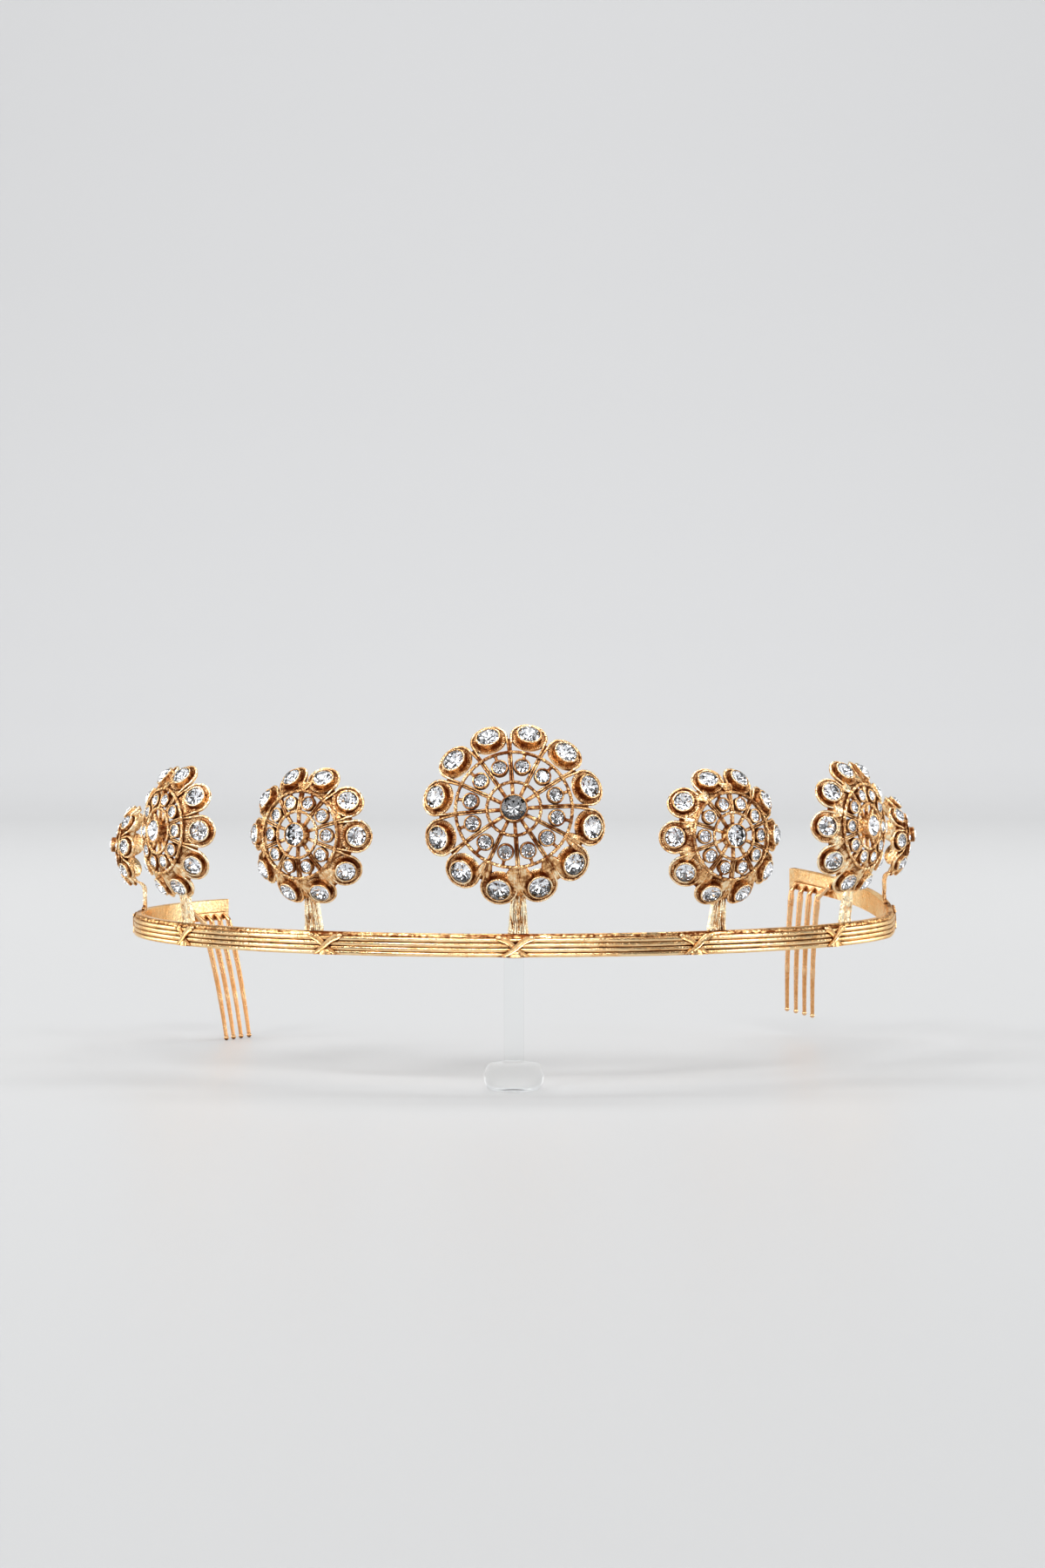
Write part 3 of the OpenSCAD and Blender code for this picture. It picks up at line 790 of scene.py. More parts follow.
def petal_wire(kind):
    """Wire that comes out along one spoke, runs round the petal and goes back"""
    wire = finishes().rim_wire
    rim = kind.petal_r - wire - 0.02
    half_step = math.pi / kind.petals
    turn_in = math.pi / 2 + math.atan(math.tan(half_step) * math.cos(math.radians(kind.tilt)))
    steps = 36
    loop = []
    for k in range(steps + 1):
        a = -turn_in + 2 * turn_in * k / steps
        loop.append(on_petal(kind) @ Vector((rim * math.sin(a), rim * math.cos(a), 0)))
    # The wire leaves the rim and closes up to its neighbour along the spoke
    leave = loop[-1]
    along = Vector((math.sin(half_step), math.cos(half_step), 0))
    across = Vector((along.y, -along.x, 0))
    reach = leave.dot(along)
    apart = -leave.dot(across)
    close = 0.84 * wire
    ring_z = -0.2
    browning = 0.65 if kind is LARGE else 0.5
    ends = 14
    spoke, radii, worn = [], [], []
    for k in range(1, ends + 1):
        r = reach + (kind.inner_r - reach) * k / ends
        run = reach - r
        closed = smooth(run / (0.7 * kind.petal_r))
        side = close + (apart - close) * (1 - closed)
        if r > kind.outer_r:
            z = leave.z + (ring_z - leave.z) * run / (reach - kind.outer_r)
        else:
            z = ring_z + kind.inner_rise * (kind.outer_r - r) / (kind.outer_r - kind.inner_r)
        spoke.append(r * along - side * across + Vector((0, 0, z)))
        radii.append(wire * (1 - 0.15 * closed))
        worn.append(0.05 + browning * closed)
    mirror = [Vector((-p.x, p.y, p.z)) for p in reversed(spoke)]
    return Shape().add_tube(mirror + loop + spoke, radii[::-1] + [wire] * len(loop) + radii,
                            worn[::-1] + [0.05] * len(loop) + worn)


def spoke_bar(kind):
    """The bar that carries two wires from the inner ring to the joint of two petals"""
    rise = kind.inner_rise
    joint = kind.petal_circle * math.cos(math.pi / kind.petals)
    halfway = 0.5 * (kind.outer_r + joint)
    wide = 0.32 if kind is LARGE else 0.28
    to_petals = ((kind.inner_r - 0.1, rise - 0.24, wide),
                 (0.5 * (kind.inner_r + kind.outer_r), 0.5 * rise - 0.25, 0.85 * wide),
                 (kind.outer_r - 0.4, -0.22, wide), (kind.outer_r + 0.2, -0.38, 1.1 * wide),
                 (halfway, cone_z(kind, halfway) + 0.02, 1.15 * wide),
                 (joint, cone_z(kind, joint) - 0.05, 1.7 * wide))
    to_hub = ((kind.hub_stone - 0.5, rise - 0.02, 1.1 * wide),
              (0.5 * (kind.hub_stone + kind.inner_r), rise - 0.08, 1.05 * wide),
              (kind.inner_r - 0.3, rise - 0.05, 1.15 * wide),
              (kind.inner_r + 0.1, rise - 0.1, 1.4 * wide))
    return (Shape().add_rib(to_petals, BAR_T, recess=0.6)
            .add_rib(to_hub, BAR_T, recess=0.45))


def cup_shape(kind):
    """Cup for a ring stone, and the bar that ties it to the outer ring"""
    outer = kind.cup_stone + STONE_PLAY + 0.75 * CUP_WALL
    cup = Shape().add_lathe([
        (0, -CUP_H, 0.5), (0.75 * outer, -CUP_H, 0.5), (outer - 0.07, -0.86 * CUP_H, 0.5),
        (outer - 0.03, -0.7 * CUP_H, 0.45)]
        + collet_profile(kind.cup_stone, outer, top=0.0, base=-0.6 * CUP_H, worn=0.5),
        segments=28)
    start = kind.cup_circle + 0.75 * outer
    end = kind.outer_r - 0.05
    return Shape().add_shape(cup, on_cup(kind)).add_rib([
        (start, 0.1, 0.42), (0.5 * (start + end), 0.02, 0.26),
        (0.3 * start + 0.7 * end, 0.0, 0.32), (end, -0.05, 0.5)], thickness=0.5, recess=0.6)


def hub_shape(kind):
    """Collet of the hub stone"""
    outer = kind.hub_stone + STONE_PLAY + HUB_WALL
    base = kind.inner_rise - 0.95
    return Shape().add_lathe([
        (0, base, 0.4), (0.9 * outer, base, 0.4), (outer - 0.02, base + 0.1, 0.4),
        (outer, base + 0.2, 0.5)]
        + collet_profile(kind.hub_stone, outer, top=kind.hub_rise, base=base + 0.5, worn=0.5),
        segments=44)


def closed_cone(kind):
    """The closed cone between the outer ring and the petals of the smaller rosettes"""
    inner = kind.outer_r - 0.15
    outer = kind.petal_circle - 0.45 * kind.petal_r
    return Shape().add_ring([(r, cone_z(kind, r) - down, recess) for r, down, recess in (
        (inner, 0.75, 0.4), (outer, 0.75, 0.4), (outer, 0.2, 0.6),
        (0.5 * (inner + outer), 0.2, 0.45), (inner, 0.25, 0.7))], segments=60)


def closed_field(kind):
    """The closed plate behind the smallest rosettes' cups"""
    inner, outer = kind.hub_stone - 0.3, kind.outer_r + 0.1
    front = kind.inner_rise - 0.35
    return Shape().add_ring([
        (inner, -0.25, 0.4), (kind.inner_r, -0.25, 0.4), (outer, -0.6, 0.5), (outer, -0.16, 0.8),
        (kind.inner_r, front, 0.85), (inner, front, 0.8)], segments=48)


def rope(kind, radius, rise, material):
    """One twisted ring, darkened where its two wires meet by tarnish and painted shade"""
    pitch = finishes().twist_pitch / MM
    shape = run_tree("Twisted ring", {
        "Radius": float(radius), "Wire": 1.2 * kind.rope_r,
        "Twists": round(2 * math.pi * radius / pitch), "Material": material})
    for i, p in enumerate(shape.points):
        from_core = math.hypot(math.hypot(p.x, p.y) - radius, p.z) / kind.rope_r
        # Tarnish and painted shade darken the crease where the two wires meet
        shape.recess[i] = 0.5 + 0.4 * (1 - smooth((from_core - 0.7) / 0.3))
        shape.points[i] = p + Vector((0, 0, rise))
    return shape


def flooded_metal(kind, seed, width, spread, end):
    """Metal that has run between two petals and under their rims, as far out as end"""
    columns, rows = 18, 16
    half_step = math.pi / kind.petals
    petal_x = kind.petal_circle * math.sin(half_step)
    petal_y = kind.petal_circle * math.cos(half_step)
    petal_h = kind.petal_r * math.cos(math.radians(kind.tilt))
    inner = kind.outer_r - 0.15
    # How much farther the metal reaches at its sides
    bow = 0.6

    def plate_z(x, y):
        """Height of the nearer petal's plate, with the crease between the two rounded"""
        return cone_z(kind, math.hypot(x, 0.5) * math.sin(half_step) + y * math.cos(half_step))

    sections, recess = [], []
    for j in range(rows + 1):
        t = j / rows
        side_y = inner + (end + bow - inner) * t
        half = min(0.5 * width + spread * (side_y - inner), 0.93 * petal_x)
        if side_y > petal_y:
            share = max(1 - ((side_y - petal_y) / petal_h) ** 2, 0.0)
            half = max(half, petal_x - kind.petal_r * math.sqrt(share) + 0.45)
        front, back, worn = [], [], []
        for i in range(columns + 1):
            u = 2 * i / columns - 1
            x = u * half
            y = inner + (end + bow * u * u - inner) * t
            level = plate_z(x, y) + (-0.25 - plate_z(0, inner)) * (1 - t) ** 2
            swell = (0.2 * noise.noise(Vector((0.9 * y, 1.1 * x, seed)))
                     + 0.08 * noise.noise(Vector((2.3 * y, 2.5 * x, seed))))
            fade = smooth((1 - abs(u)) * 3) * smooth((1 - t) * 5)
            top = level - 0.34 + (0.58 + swell) * fade
            front.append(Vector((x, y, top)))
            back.append(Vector((x, y, top - 0.15 - 0.45 * fade)))
            worn.append(0.5 - 0.25 * fade - 2.3 * swell)
        sections.append(back + front[::-1])
        recess += [0.4] * (columns + 1) + worn[::-1]
    return Shape().add_sweep(sections, recess)


def stem_line(place):
    """Middle line of a stem, as (distance from the band's axis, height) points"""
    kind = place.kind
    low = place.height - kind.petal_circle - kind.petal_r * math.cos(math.radians(kind.tilt))
    mid = BAND_INNER_R + GAP + kind.stem_t / 2
    if kind is SMALL:
        return [(mid, BAND_TOP + GAP), (mid, low - 1.4), (mid + 0.03, low - 0.8),
                (mid + 0.25, low - 0.15), (mid + 0.8, low + 0.35), (BAND_R + 0.2, low + 0.75)]
    shift, rise = (1.6, 2.5) if kind is LARGE else (1.0, 2.1)
    return [(mid, BAND_TOP + GAP), (mid, BAND_TOP + 0.8), (mid + 0.1, BAND_TOP + 1.3),
            (mid + shift, low + rise)]


def resample(points, count):
    """Evenly spaced points along a broken line"""
    points = [Vector(p) for p in points]
    lengths = [0.0]
    for a, b in zip(points, points[1:]):
        lengths.append(lengths[-1] + (b - a).length)
    result = []
    for k in range(count):
        want = lengths[-1] * k / (count - 1)
        i = max(j for j in range(len(points) - 1) if lengths[j] <= want + 1e-9)
        share = (want - lengths[i]) / (lengths[i + 1] - lengths[i])
        result.append(points[i].lerp(points[i + 1], min(share, 1.0)))
    return result


def stem_shape(place):
    """Flat stem with grain like bark down its faces, in the band's frame"""
    kind = place.kind
    rows, columns = 44, 52
    browning = 0.2 if kind is SMALL else -0.7
    sections, recess = [], []
    for row, (r, z) in enumerate(resample(stem_line(place), rows)):
        share = row / (rows - 1)
        if kind is SMALL:
            width = kind.stem_w * (1 - 0.04 * share)
        else:
            width = kind.stem_w * (1 - (1 - STEM_TAPER) * smooth(1.25 * share - 0.25)
                                   + 0.1 * smooth(1 - 4 * share))
        twist = 0.3 * noise.noise(Vector((0.5 * z, place.angle, 2.0)))
        section = []
        for face in (-1, 1):
            for k in range(columns + 1):
                x = -face * (k / columns - 0.5)
                seed = Vector((11 * x + twist + 7 * place.angle, 5.0 * face, 0.26 * z))
                groove = smooth(2.4 * abs(noise.noise(seed)) + 0.8 * abs(noise.noise(2.3 * seed)))
                edge = smooth((0.5 - abs(x)) * 9)
                depth = kind.stem_t / 2 * (0.55 + 0.45 * edge) - 0.26 * (1 - groove) * edge
                section.append(Vector((x * width, -r + face * depth, z)))
                recess.append(0.9 * (1 - groove) * edge + browning)
        sections.append(section)
    return Shape().add_sweep(sections, recess)


def ball_shape(radius, recess=0.1, highest=72, step=18, segments=18):
    """A ball, with a row of points every step degrees up to the highest"""
    rows = [(radius * out, radius * up, recess) for out, up in arc(-highest, highest, step)]
    return Shape().add_lathe([(0, -radius, recess), *rows, (0, radius, 0.1)], segments)


def solder_blobs(place):
    """Small blobs of solder where the stem stands on the band"""
    shape = Shape()
    for share, radius in ((-0.42, 0.34), (0.12, 0.42), (0.47, 0.34)):
        at = (share * place.kind.stem_w, -BAND_INNER_R - 0.55, BAND_TOP + 0.3)
        ball = ball_shape(radius, recess=0.2, highest=60, step=30, segments=10)
        shape.add_shape(ball, Matrix.Translation(at))
    return shape


def rosette_shape(place, material):
    """The metal of a rosette without its stem, in the rosette's own frame"""
    kind = place.kind
    step = 360 / kind.petals

    def around(part, first=kind.first):
        """The part once for each petal"""
        return copies(part, kind.petals, first, step, material)

    plate = Shape().add_shape(petal_plate(kind, material), on_petal(kind))
    shape = around(plate).add_shape(around(petal_wire(kind)))
    openwork = around(cup_shape(kind))
    openwork.add_shape(around(spoke_bar(kind), kind.first + step / 2))
    openwork.add_shape(hub_shape(kind))
    openwork.add_shape(rope(kind, kind.outer_r, 0, material))
    openwork.add_shape(rope(kind, kind.inner_r, kind.inner_rise, material))
    # The large rosette's openwork is browner
    if kind is LARGE:
        openwork.darkened(0.22)
    shape.add_shape(openwork)
    if kind is not LARGE:
        shape.add_shape(closed_cone(kind))
    if kind is SMALL:
        shape.add_shape(closed_field(kind))
    for angle, width, spread, end in kind.flooded:
        shape.add_shape(flooded_metal(kind, angle, width, spread, end), turn("Z", -angle))
    # Painted light: the outer rosettes are made a little brighter, for the light on their sides
    if place.name.endswith("outer"):
        shape.darkened(-0.2)
    return shape


# Band

REEDS = 4
# Height of what lies above the reeds, which is mostly a rough bevel
BEVEL_H = 0.75


def band_outline():
    """Section of the band as (distance out, height, recess) rows"""
    pitch = (BAND_H - BEVEL_H) / REEDS
    rows = [(0.0, 0.0, 0.2), (BAND_T - 0.6, 0.0, 0.3)]
    for reed in range(REEDS):
        for k in range(9):
            a = math.pi * k / 8
            out = BAND_T - 0.32 + 0.315 * math.sin(a) ** 0.8
            rows.append((out, (reed + 0.5 - 0.48 * math.cos(a)) * pitch,
                         0.45 * (1 - math.sin(a)) ** 2))
        rows.append((BAND_T - 0.36, (reed + 1) * pitch, 0.5))
    for k in range(8):
        rows.append((BAND_T - 0.3 - 0.3 * (k / 7) ** 2, BAND_H - 0.7 + 0.68 * k / 7, 0.3))
    rows += [(0.6 * BAND_T, BAND_H, 0.25), (0.12, BAND_H, 0.2), (0.0, BAND_H - 0.1, 0.2)]
    return rows


def wear(point):
    """How browned a point of the level band is, and how far its rough bevel stands out"""
    out = math.hypot(point.x, point.y)
    along = BAND_R * math.atan2(point.x, -point.y)
    height = point.z
    if out < BAND_INNER_R + 0.15:
        return 0.8 * noise.noise(Vector((along / 7, height / 3, 9.0))), 0.0
    streaks = (0.9 * noise.noise(Vector((along / 11, 2.6 * height, 3.0 * out)))
               + 0.8 * noise.noise(Vector((along / 2.4, 5.0 * height, 5.0 * out))))
    if height > BAND_H - 0.73 and out > BAND_INNER_R + 1.1:
        specks = noise.noise(Vector((along / 0.45, height / 0.3, out / 0.4)))
        return 0.5 + 1.1 * specks + streaks, 0.09 * specks
    return streaks, 0.0


def band_shape(material):
    """The band without its ties, still level, with a painted shadow beside each tie"""
    rows = band_outline()
    mesh = bpy.data.meshes.new("outline")
    # The sweep lays the outline's Y downwards
    mesh.from_pydata([(out, -height, 0) for out, height, _ in rows],
                     [((i + 1) % len(rows), i) for i in range(len(rows))], [])
    set_recess(mesh, [row[2] for row in rows])
    outline = new_object("outline", mesh)
    shape = run_tree("Swept band", {
        "Outline": outline, "Radius": BAND_INNER_R, "Start": -90.0 - LEFT_SPAN,
        "Sweep": LEFT_SPAN + RIGHT_SPAN, "Steps": 960, "Material": material})
    bpy.data.objects.remove(outline)
    for i, point in enumerate(shape.points):
        darkened, lift = wear(point)
        # Painted shadow: the band is darkened within a few millimetres of each tie
        near = min(abs(angle_of(point) - tie) for tie in TIE_ANGLES) * math.radians(BAND_R)
        shape.recess[i] += darkened + 0.45 * smooth((4.6 - near) / 2.5)
        shape.points[i] = point * (1 + lift / BAND_R) + Vector((0, 0, BAND_Z))
    return shape


def on_reeds(across, out, height):
    """A point on the band's front, from millimetres along its curve, out and up"""
    a = across / BAND_R
    return Vector((out * math.sin(a), -out * math.cos(a), BAND_Z + height))


# Section of a ribbon as (share of its half width, distance out, recess) rows
RIBBON = ((-1.0, -0.45, 1.1), (-1.0, 0.03, 0.9), (-0.82, 0.23, 0.0), (-0.5, 0.1, 0.45),
          (0.0, 0.1, 0.3), (0.5, 0.1, 0.45), (0.82, 0.23, 0.0), (1.0, 0.03, 0.9),
          (1.0, -0.45, 1.1))
RIBBON_W = 1.15
# The lobe between the lower ends of a tie, and the small knots at the upper ones, as
# (place along, height, half width, half height, distance out, recess at the top)
TIE_KNOBS = ((0.0, 0.0, 1.4, 1.25, 0.4, 0.4), (-3.0, 3.6, 0.62, 0.34, 0.3, 0.0),
             (3.0, 3.6, 0.62, 0.34, 0.3, 0.0), (-1.8, 3.42, 0.55, 0.28, 0.16, 0.0),
             (1.8, 3.42, 0.55, 0.28, 0.16, 0.0))


def ribbon(side, under):
    """One ribbon of a tie, laid over the reeds, in the band's frame"""
    low, high = Vector((-2.4 * side, 0.12)), Vector((2.95 * side, 3.7))
    rows = 28
    path = []
    for row in range(rows + 1):
        t = row / rows
        path.append(low.lerp(high, t) + Vector((0.22 * side * math.sin(2 * math.pi * t), 0)))
    sections, recess = [], []
    for row, here in enumerate(path):
        t = row / rows
        along = (path[min(row + 1, rows)] - path[max(row - 1, 0)]).normalized()
        across = Vector((along.y, -along.x))
        flare = 0.62 + 0.38 * smooth(t / 0.5) + 0.3 * smooth((t - 0.75) / 0.25)
        flare += 0.16 * noise.noise(Vector((5 * t, 3.1 * side, 2.0 * under)))
        lift = -0.1 * under + 0.09 * math.sin(math.pi * t)
        section = []
        for u, out, worn in RIBBON:
            p = here + across * (0.5 * u * RIBBON_W * flare)
            height = min(max(p.y, 0.03), BAND_H - 0.4)
            section.append(on_reeds(p.x, BAND_R + out + lift, height))
            recess.append(worn + 0.3 * under)
        sections.append(section)
    return Shape().add_sweep(sections, recess)


def tie_shape():
    """Two crossed ribbons with their lobe and knots, at the front of the band"""
    shape = Shape().add_shape(ribbon(1, 0)).add_shape(ribbon(-1, 1))
    for x, z, wide, tall, out, worn in TIE_KNOBS:
        rows = [(far, up, worn + 0.7 - 0.7 * up) for far, up in arc(-60, 75, 15)]
        knob = Shape().add_lathe([(0, -1, 0.6), *rows, (0, 1, worn)], segments=20)
        at = (turn("Z", math.degrees(x / BAND_R))
              @ Matrix.Translation((0, -BAND_R + 0.03, BAND_Z + z))
              @ turn("X", 90) @ Matrix.Diagonal((wide, tall, out, 1)))
        seated = Shape().add_shape(knob, at)
        seated.points = [Vector((p.x, p.y, max(p.z, BAND_Z + 0.02))) for p in seated.points]
        shape.add_shape(seated)
    return shape


# Combs

class Comb(NamedTuple):
    """A comb's side, its middle's angle, its tips' lean inwards and its teeth's extra length"""
    name: str
    side: int
    middle: float
    lean: float
    extra: float


COMBS = (Comb("left", side=-1, middle=120.2, lean=5.2, extra=0.0),
         Comb("right", side=1, middle=122.8, lean=1.4, extra=1.2))
TEETH = 4
TOOTH_STEP = 2.4
TIP_R = 0.5
ARM_BALL_R = 0.59
# Section of a comb's bar as (distance from the band's axis, height) points
COMB_BAR = ((BAND_INNER_R - 0.7, 0.36), (BAND_INNER_R - 0.07, 0.2),
            (BAND_INNER_R - 0.07, 1.74), (BAND_INNER_R - 0.4, 1.6))
# Where a tooth turns down from the band, at the front of the band
KNUCKLE = Vector((0, -BAND_INNER_R + 1.75, BAND_Z - 0.5))


def bowed(start, end, bow, steps):
    """Points from start to end, bowed inwards between them"""
    return [start.lerp(end, k / steps) + Vector((0, bow * math.sin(math.pi * k / steps), 0))
            for k in range(steps + 1)]


def tooth_shape(comb):
    """One tooth, with a small joint below its middle, painted brighter as a highlight, and a ball
    at its tip
    """
    tip = KNUCKLE + Vector((0, comb.lean, TIP_R - comb.extra - KNUCKLE.z))
    top = Vector((0, -BAND_INNER_R + 0.6, BAND_Z + 1.15))
    path = bowed(top, KNUCKLE, 0.34, 8) + bowed(KNUCKLE, tip, 0.4, 32)[1:]
    radii, worn = [], []
    for k in range(9):
        t = k / 8
        radii.append(0.46 + 0.12 * smooth(t))
        worn.append(0.6 - 0.25 * t)
    for k in range(1, 33):
        t = k / 32
        joint = math.exp(-((t - 0.64) / 0.022) ** 2)
        radii.append(0.68 - 0.07 * smooth(t / 0.2) - 0.22 * t + 0.08 * joint)
        # Painted highlight: the joint is made brighter, a glint where the tooth bends
        worn.append(0.35 + 0.3 * smooth(t / 0.6) - 0.6 * joint)
    tooth = Shape().add_tube(path, radii, worn, sides=12)
    return tooth.add_shape(ball_shape(TIP_R), Matrix.Translation(tip))


def arm_shape(side):
    """The longer arm that leaves the first tooth and ends in a ball"""
    end = Vector((-side * 2.6, -BAND_INNER_R + 0.65, BAND_Z + 2.2))
    radii = [0.45 - 0.05 * k / 8 for k in range(9)]
    arm = Shape().add_tube(bowed(KNUCKLE, end, 0.12, 8), radii, [0.15] * 9, sides=10)
    return arm.add_shape(ball_shape(ARM_BALL_R), Matrix.Translation(end))


def comb_shape(comb, material):
    """One comb, in millimetres from the band's axis"""
    side = comb.side
    half = 0.5 * (TEETH - 1) * TOOTH_STEP
    start = comb.middle - half
    # Clockwise turns take the teeth towards the left of the band
    shape = copies(tooth_shape(comb), TEETH, -side * start, -side * TOOTH_STEP, material)
    # The bar goes on a little beyond the outer teeth
    over, steps = 0.7, 30
    bar = []
    for k in range(steps + 1):
        a = math.radians(side * (start - over + 2 * (half + over) * k / steps))
        bar.append([(r * math.sin(a), -r * math.cos(a), BAND_Z + z) for r, z in COMB_BAR])
    shape.add_sweep(bar if side > 0 else bar[::-1], [0.2] * (len(bar) * len(COMB_BAR)))
    return shape.add_shape(arm_shape(side), turn("Z", side * start)).bend()


# Settings

def gilding(name, description, default):
    """A colour setting"""
    return FloatVectorProperty(name=name, description=description, default=default,
                               subtype="COLOR", min=0, max=1)


def length(name, description, default, least, most):
    """A length setting, in metres"""
    return FloatProperty(name=name, description=description, default=default, min=least,
                         max=most, unit="LENGTH")


class TIARA_PG_finish(PropertyGroup):
    """Wire sizes and the colours of the gilding"""
    rim_wire: FloatProperty(name="Petal wire", description="Radius of the wire round a petal, mm",
                            default=0.25, min=0.15, max=0.3)
    twist_pitch: length("Twist", "Length of one twist in the rings", 0.0008, 0.0006, 0.003)
    bright: gilding("Bright gilt", "Gilding on what stands proud", (1.0, 0.88, 0.62))
    band: gilding("Band gilt", "Gilding on the band's reeds", (1.0, 0.73, 0.41))
    middle: gilding("Middle gilt", "Gilding on sheltered faces", (0.87, 0.5, 0.21))
    dark: gilding("Browned gilt", "Gilding deep in the recesses", (0.16, 0.04, 0.01))
    satin: gilding("Satin gilt", "Paler gilding of the combs", (0.82, 0.54, 0.3))
    satin_middle: gilding("Satin gilt, worn", "Worn parts of the combs", (0.66, 0.33, 0.13))
    satin_dark: gilding("Satin gilt, browned", "Browned parts of the combs", (0.25, 0.1, 0.03))


class TIARA_PG_stage(PropertyGroup):
    """Camera and light"""
    lens: FloatProperty(name="Lens", description="Focal length in mm", default=100, min=35, max=200)
    distance: length("Distance", "From the camera to the band's axis", 0.86, 0.4, 2)
    height: length("Height", "Camera above the floor", 0.0773, 0.02, 1)
    side: length("Side", "Camera to the right of the middle", 0.00155, -0.1, 0.1)
    pitch: FloatProperty(name="Pitch", description="Camera's tilt below level",
                         default=math.radians(1.6), min=-1, max=1, unit="ROTATION")
    key: FloatProperty(name="Key light", description="Power of the key light in watts",
                       default=4.0, min=0, max=200)


# Stage

# The floor, in metres: half its width, its front edge, where it starts to curve up, the
# curve's radius, and the top of the wall behind
FLOOR_HALF = 4.0
FLOOR_FRONT = -3.0
FLOOR_BEND = 1.4
FLOOR_CURVE = 1.2
WALL_TOP = 5.0
# How far up the band's axis the lights look, and where the backdrop's light looks
AIM_HEIGHT = 0.045
BACKDROP_AIM = Vector((0, 2.2, 0.2))
# Each light's place, size and share of the key light's power
LIGHTS = {
    "key": ((-0.55, -0.7, 0.75), (0.32, 0.32), 1.0),
    "front": ((0.1, -1.05, 0.9), (0.7, 0.26), 2.0),
    "low": ((0.0, -1.1, 0.13), (1.2, 0.18), 0.5),
    "right": ((0.95, -0.3, 0.4), (0.35, 0.8), 0.95),
    "left": ((-0.95, -0.25, 0.4), (0.35, 0.8), 0.95),
    "back_right": ((0.9, 0.6, 0.2), (0.6, 0.4), 0.6),
    "back_left": ((-0.9, 0.6, 0.2), (0.6, 0.4), 0.6),
    "top": ((0.0, 0.25, 1.25), (1.4, 0.8), 1.8),
    "backdrop": ((0.0, 0.9, 1.7), (2.4, 1.2), 10.4),
}


def add_floor():
    """Floor that curves up to a wall behind the tiara"""
    rows = [(FLOOR_FRONT, 0.0), (FLOOR_BEND, 0.0)]
    steps = 12
    for k in range(1, steps + 1):
        a = math.radians(90 * k / steps)
        rows.append((FLOOR_BEND + FLOOR_CURVE * math.sin(a), FLOOR_CURVE * (1 - math.cos(a))))
    rows.append((FLOOR_BEND + FLOOR_CURVE, WALL_TOP))
    points = [(x, y, z) for y, z in rows for x in (-FLOOR_HALF, FLOOR_HALF)]
    faces = [(2 * i, 2 * i + 1, 2 * i + 3, 2 * i + 2) for i in range(len(rows) - 1)]
    mesh = Shape().add(points, faces).mesh("floor")
    mesh.materials.append(floor_white())
    mesh.shade_smooth()
    new_object("floor", mesh)


def add_sky():
    """Faint warm light from all sides"""
    world = bpy.data.worlds.new("studio")
    world.use_nodes = True
    set_inputs(world.node_tree, world.node_tree.nodes["Background"], {
        "Color": (1.0, 0.98, 0.95, 1), "Strength": 0.16})
    bpy.context.scene.world = world


def add_light(name, place, size, power, aim):
    """A rectangular light that looks at a point"""
    light = bpy.data.lights.new(name, "AREA")
    light.shape = "RECTANGLE"
    light.size, light.size_y = size
    light.energy = power
    lamp = new_object(name, light)
    lamp.location = place
    lamp.rotation_euler = (aim - lamp.location).to_track_quat("-Z", "Y").to_euler()


def add_camera(stage):
    """Camera in front of the tiara"""
    camera = bpy.data.cameras.new("camera")
    camera.lens = stage.lens
    camera.sensor_width = 36
    camera.clip_start = 0.01
    view = new_object("camera", camera)
    view.location = CIRCLE * MM + Vector((stage.side, -stage.distance, stage.height))
    view.rotation_euler = (math.pi / 2 - stage.pitch, 0, 0)
    bpy.context.scene.camera = view


# Operators

class TIARA_OT_band(Operator):
    """Make the reeded band with its crossed ties"""
    bl_idname = "tiara.band"
    bl_label = "Band"

    def execute(self, context):
        material = band_gilt()
        shape = band_shape(material)
        tie = tie_shape()
        for angle in TIE_ANGLES:
            shape.add_shape(tie, turn("Z", angle))
        finish_piece("reeded_band", shape.bend(), from_axis(), "band", (material,),
                     sharp=50)
        return {"FINISHED"}


class TIARA_OT_rosettes(Operator):
    """Make the metal of the seven rosettes and their stems"""
    bl_idname = "tiara.rosettes"
    bl_label = "Rosettes"

    def execute(self, context):
        material = rosette_gilt()
        for place in PLACES:
            metal = Shape().add_shape(rosette_shape(place, material), in_rosette(place))
            metal.add_shape(stem_shape(place), on_band(place.foot))
            metal.add_shape(solder_blobs(place), on_band(place.foot))
            finish_piece("rosette_metal_" + place.name, metal, Matrix(),
                         "rosette_" + place.name, (material,), sharp=50)
        return {"FINISHED"}


class TIARA_OT_stones(Operator):
    """Set the paste stones in their collets and cups"""
    bl_idname = "tiara.stones"
    bl_label = "Stones"

    def execute(self, context):
        clear = crystal()
        clean = (clear, foil("silver_foil", 0.95))
        tarnished = (clear, foil("tarnished_foil", 0.7))
        dull = (clear, foil("dull_foil", 0.35))
        for place in PLACES:
            kind, name = place.kind, place.name
            step = 360 / kind.petals
            set_stones("hub_paste_" + name, "hub_stone_" + name, place,
                       Matrix.Translation((0, 0, kind.hub_rise - STONE_SINK)), kind.hub_stone,
                       dull if kind is LARGE else clean)
            petal = on_petal(kind) @ Matrix.Translation((0, 0, COLLET_H))
            if kind is LARGE:
                for k in range(kind.petals):
                    set_stones(f"petal_paste_{name}_{k + 1:02d}", f"petal_stone_{name}_{k + 1:02d}",
                               place, petal, kind.petal_stone, clean,
                               first=kind.first + k * step)
            else:
                set_stones("petal_paste_" + name, "petal_stones_" + name, place, petal,
                           kind.petal_stone, clean, kind.petals, kind.first, step)
            set_stones("ring_paste_" + name, "ring_stones_" + name, place, on_cup(kind),
                       kind.cup_stone, tarnished if kind is LARGE else clean,
                       kind.petals, kind.first, step)
        return {"FINISHED"}


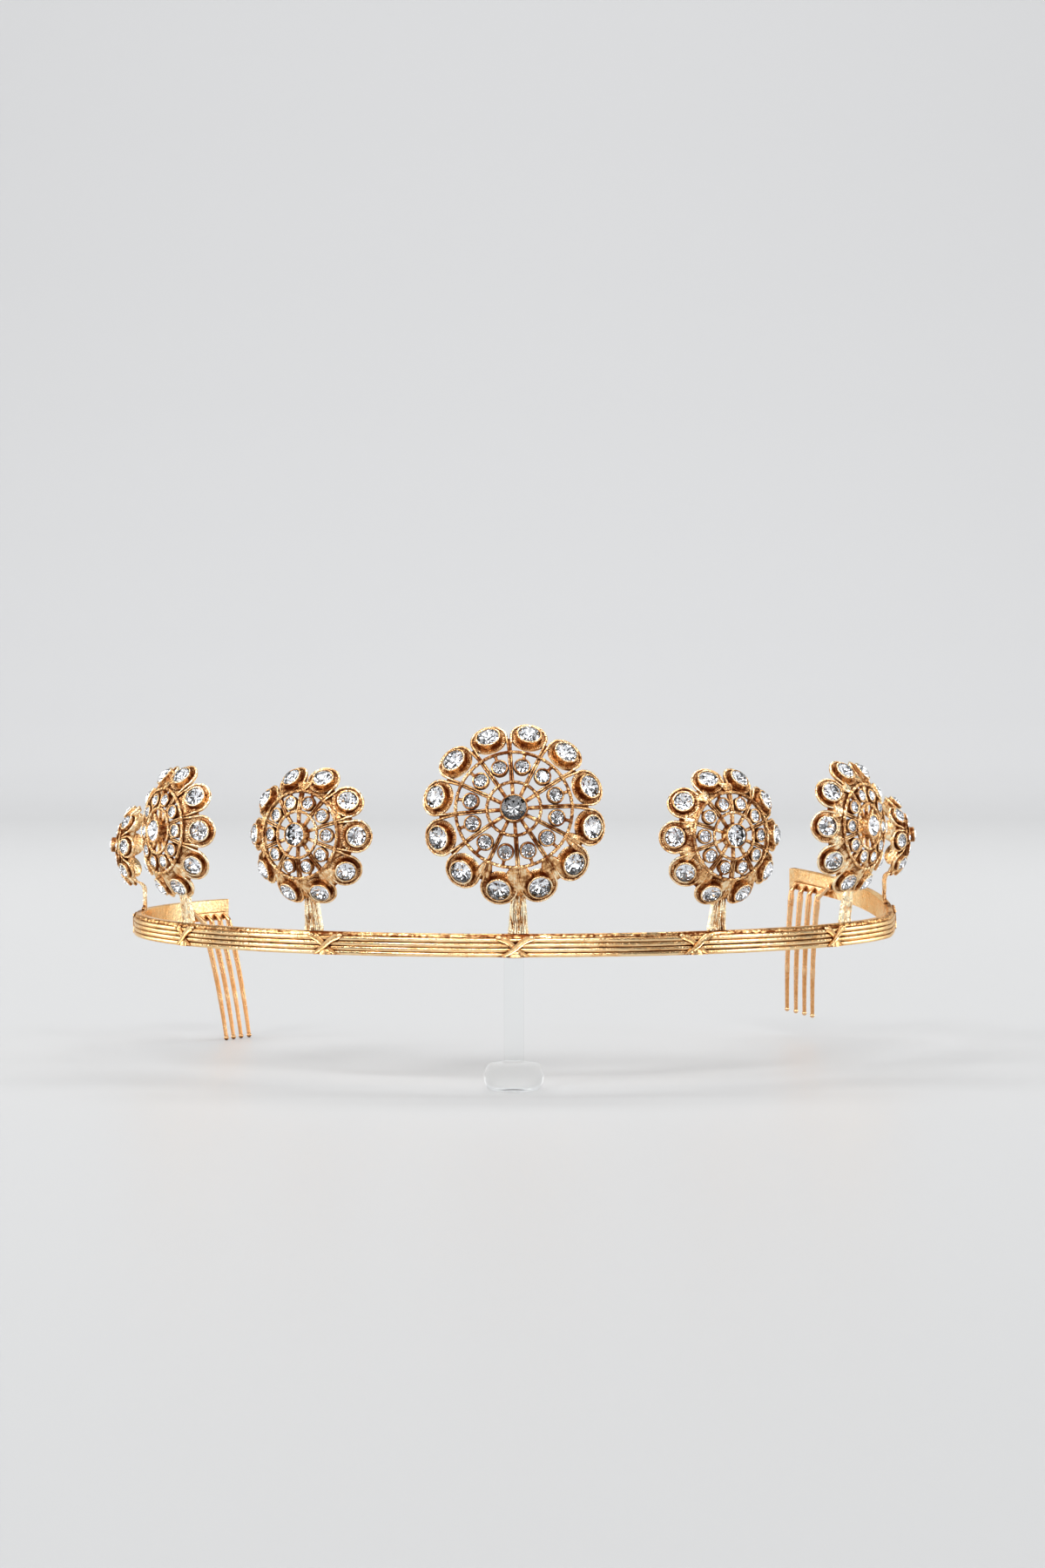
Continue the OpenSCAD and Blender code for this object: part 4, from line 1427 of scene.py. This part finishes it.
class TIARA_OT_combs(Operator):
    """Make the two side combs"""
    bl_idname = "tiara.combs"
    bl_label = "Combs"

    def execute(self, context):
        material = comb_gilt()
        for comb in COMBS:
            finish_piece("side_comb_" + comb.name, comb_shape(comb, material), from_axis(),
                         "comb_" + comb.name, (material,))
        return {"FINISHED"}


class TIARA_OT_prop(Operator):
    """Make the clear prop under the front of the band"""
    bl_idname = "tiara.prop"
    bl_label = "Clear prop"

    def execute(self, context):
        # Radius and height of the foot, and radius of the post
        foot, tall, post = 5.4, 5.0, 1.8
        rounded = [(foot - 0.3 * tall * (1 - out), tall / 2 * (1 + up), 0)
                   for out, up in arc(-75, 75, 15)]
        shape = Shape().add_lathe([
            (0, 0, 0), *rounded, (post + 0.3, tall - 0.05, 0), (post, tall + 0.3, 0),
            (post, BAND_Z - 2 * GAP, 0), (0, BAND_Z - GAP, 0)], segments=64)
        finish_piece("clear_post", shape,
                     from_axis() @ Matrix.Translation((0, -BAND_R + BAND_T / 2, 0)),
                     "clear_prop", (acrylic(),))
        return {"FINISHED"}


class TIARA_OT_stage(Operator):
    """Set the floor, the lights and the camera"""
    bl_idname = "tiara.stage"
    bl_label = "Stage"

    def execute(self, context):
        stage = context.scene.tiara_stage
        add_floor()
        add_sky()
        context.scene.view_settings.view_transform = "Standard"
        centre = CIRCLE * MM + Vector((0, 0, AIM_HEIGHT))
        for name, (place, size, share) in LIGHTS.items():
            aim = BACKDROP_AIM if name == "backdrop" else centre
            add_light(name, place, size, share * stage.key, aim)
        add_camera(stage)
        return {"FINISHED"}


class TIARA_PT_tiara(Panel):
    """Buttons and settings for the tiara"""
    bl_idname = "TIARA_PT_tiara"
    bl_label = "Tiara"
    bl_space_type = "VIEW_3D"
    bl_region_type = "UI"
    bl_category = "Tiara"

    def draw(self, context):
        for settings in (context.scene.tiara_finish, context.scene.tiara_stage):
            box = self.layout.box()
            for name in settings.__annotations__:
                box.prop(settings, name)
        for operator in OPERATORS:
            self.layout.operator(operator.bl_idname)


OPERATORS = (TIARA_OT_band, TIARA_OT_rosettes, TIARA_OT_stones, TIARA_OT_combs, TIARA_OT_prop,
             TIARA_OT_stage)
CLASSES = (TIARA_PG_finish, TIARA_PG_stage, *OPERATORS, TIARA_PT_tiara)


def register():
    for cls in CLASSES:
        bpy.utils.register_class(cls)
    bpy.types.Scene.tiara_finish = PointerProperty(type=TIARA_PG_finish)
    bpy.types.Scene.tiara_stage = PointerProperty(type=TIARA_PG_stage)


def unregister():
    del bpy.types.Scene.tiara_stage
    del bpy.types.Scene.tiara_finish
    for cls in reversed(CLASSES):
        bpy.utils.unregister_class(cls)


def main():
    register()
    bpy.ops.tiara.band()
    bpy.ops.tiara.rosettes()
    bpy.ops.tiara.stones()
    bpy.ops.tiara.combs()
    bpy.ops.tiara.prop()
    bpy.ops.tiara.stage()


if __name__ == "__main__":
    main()
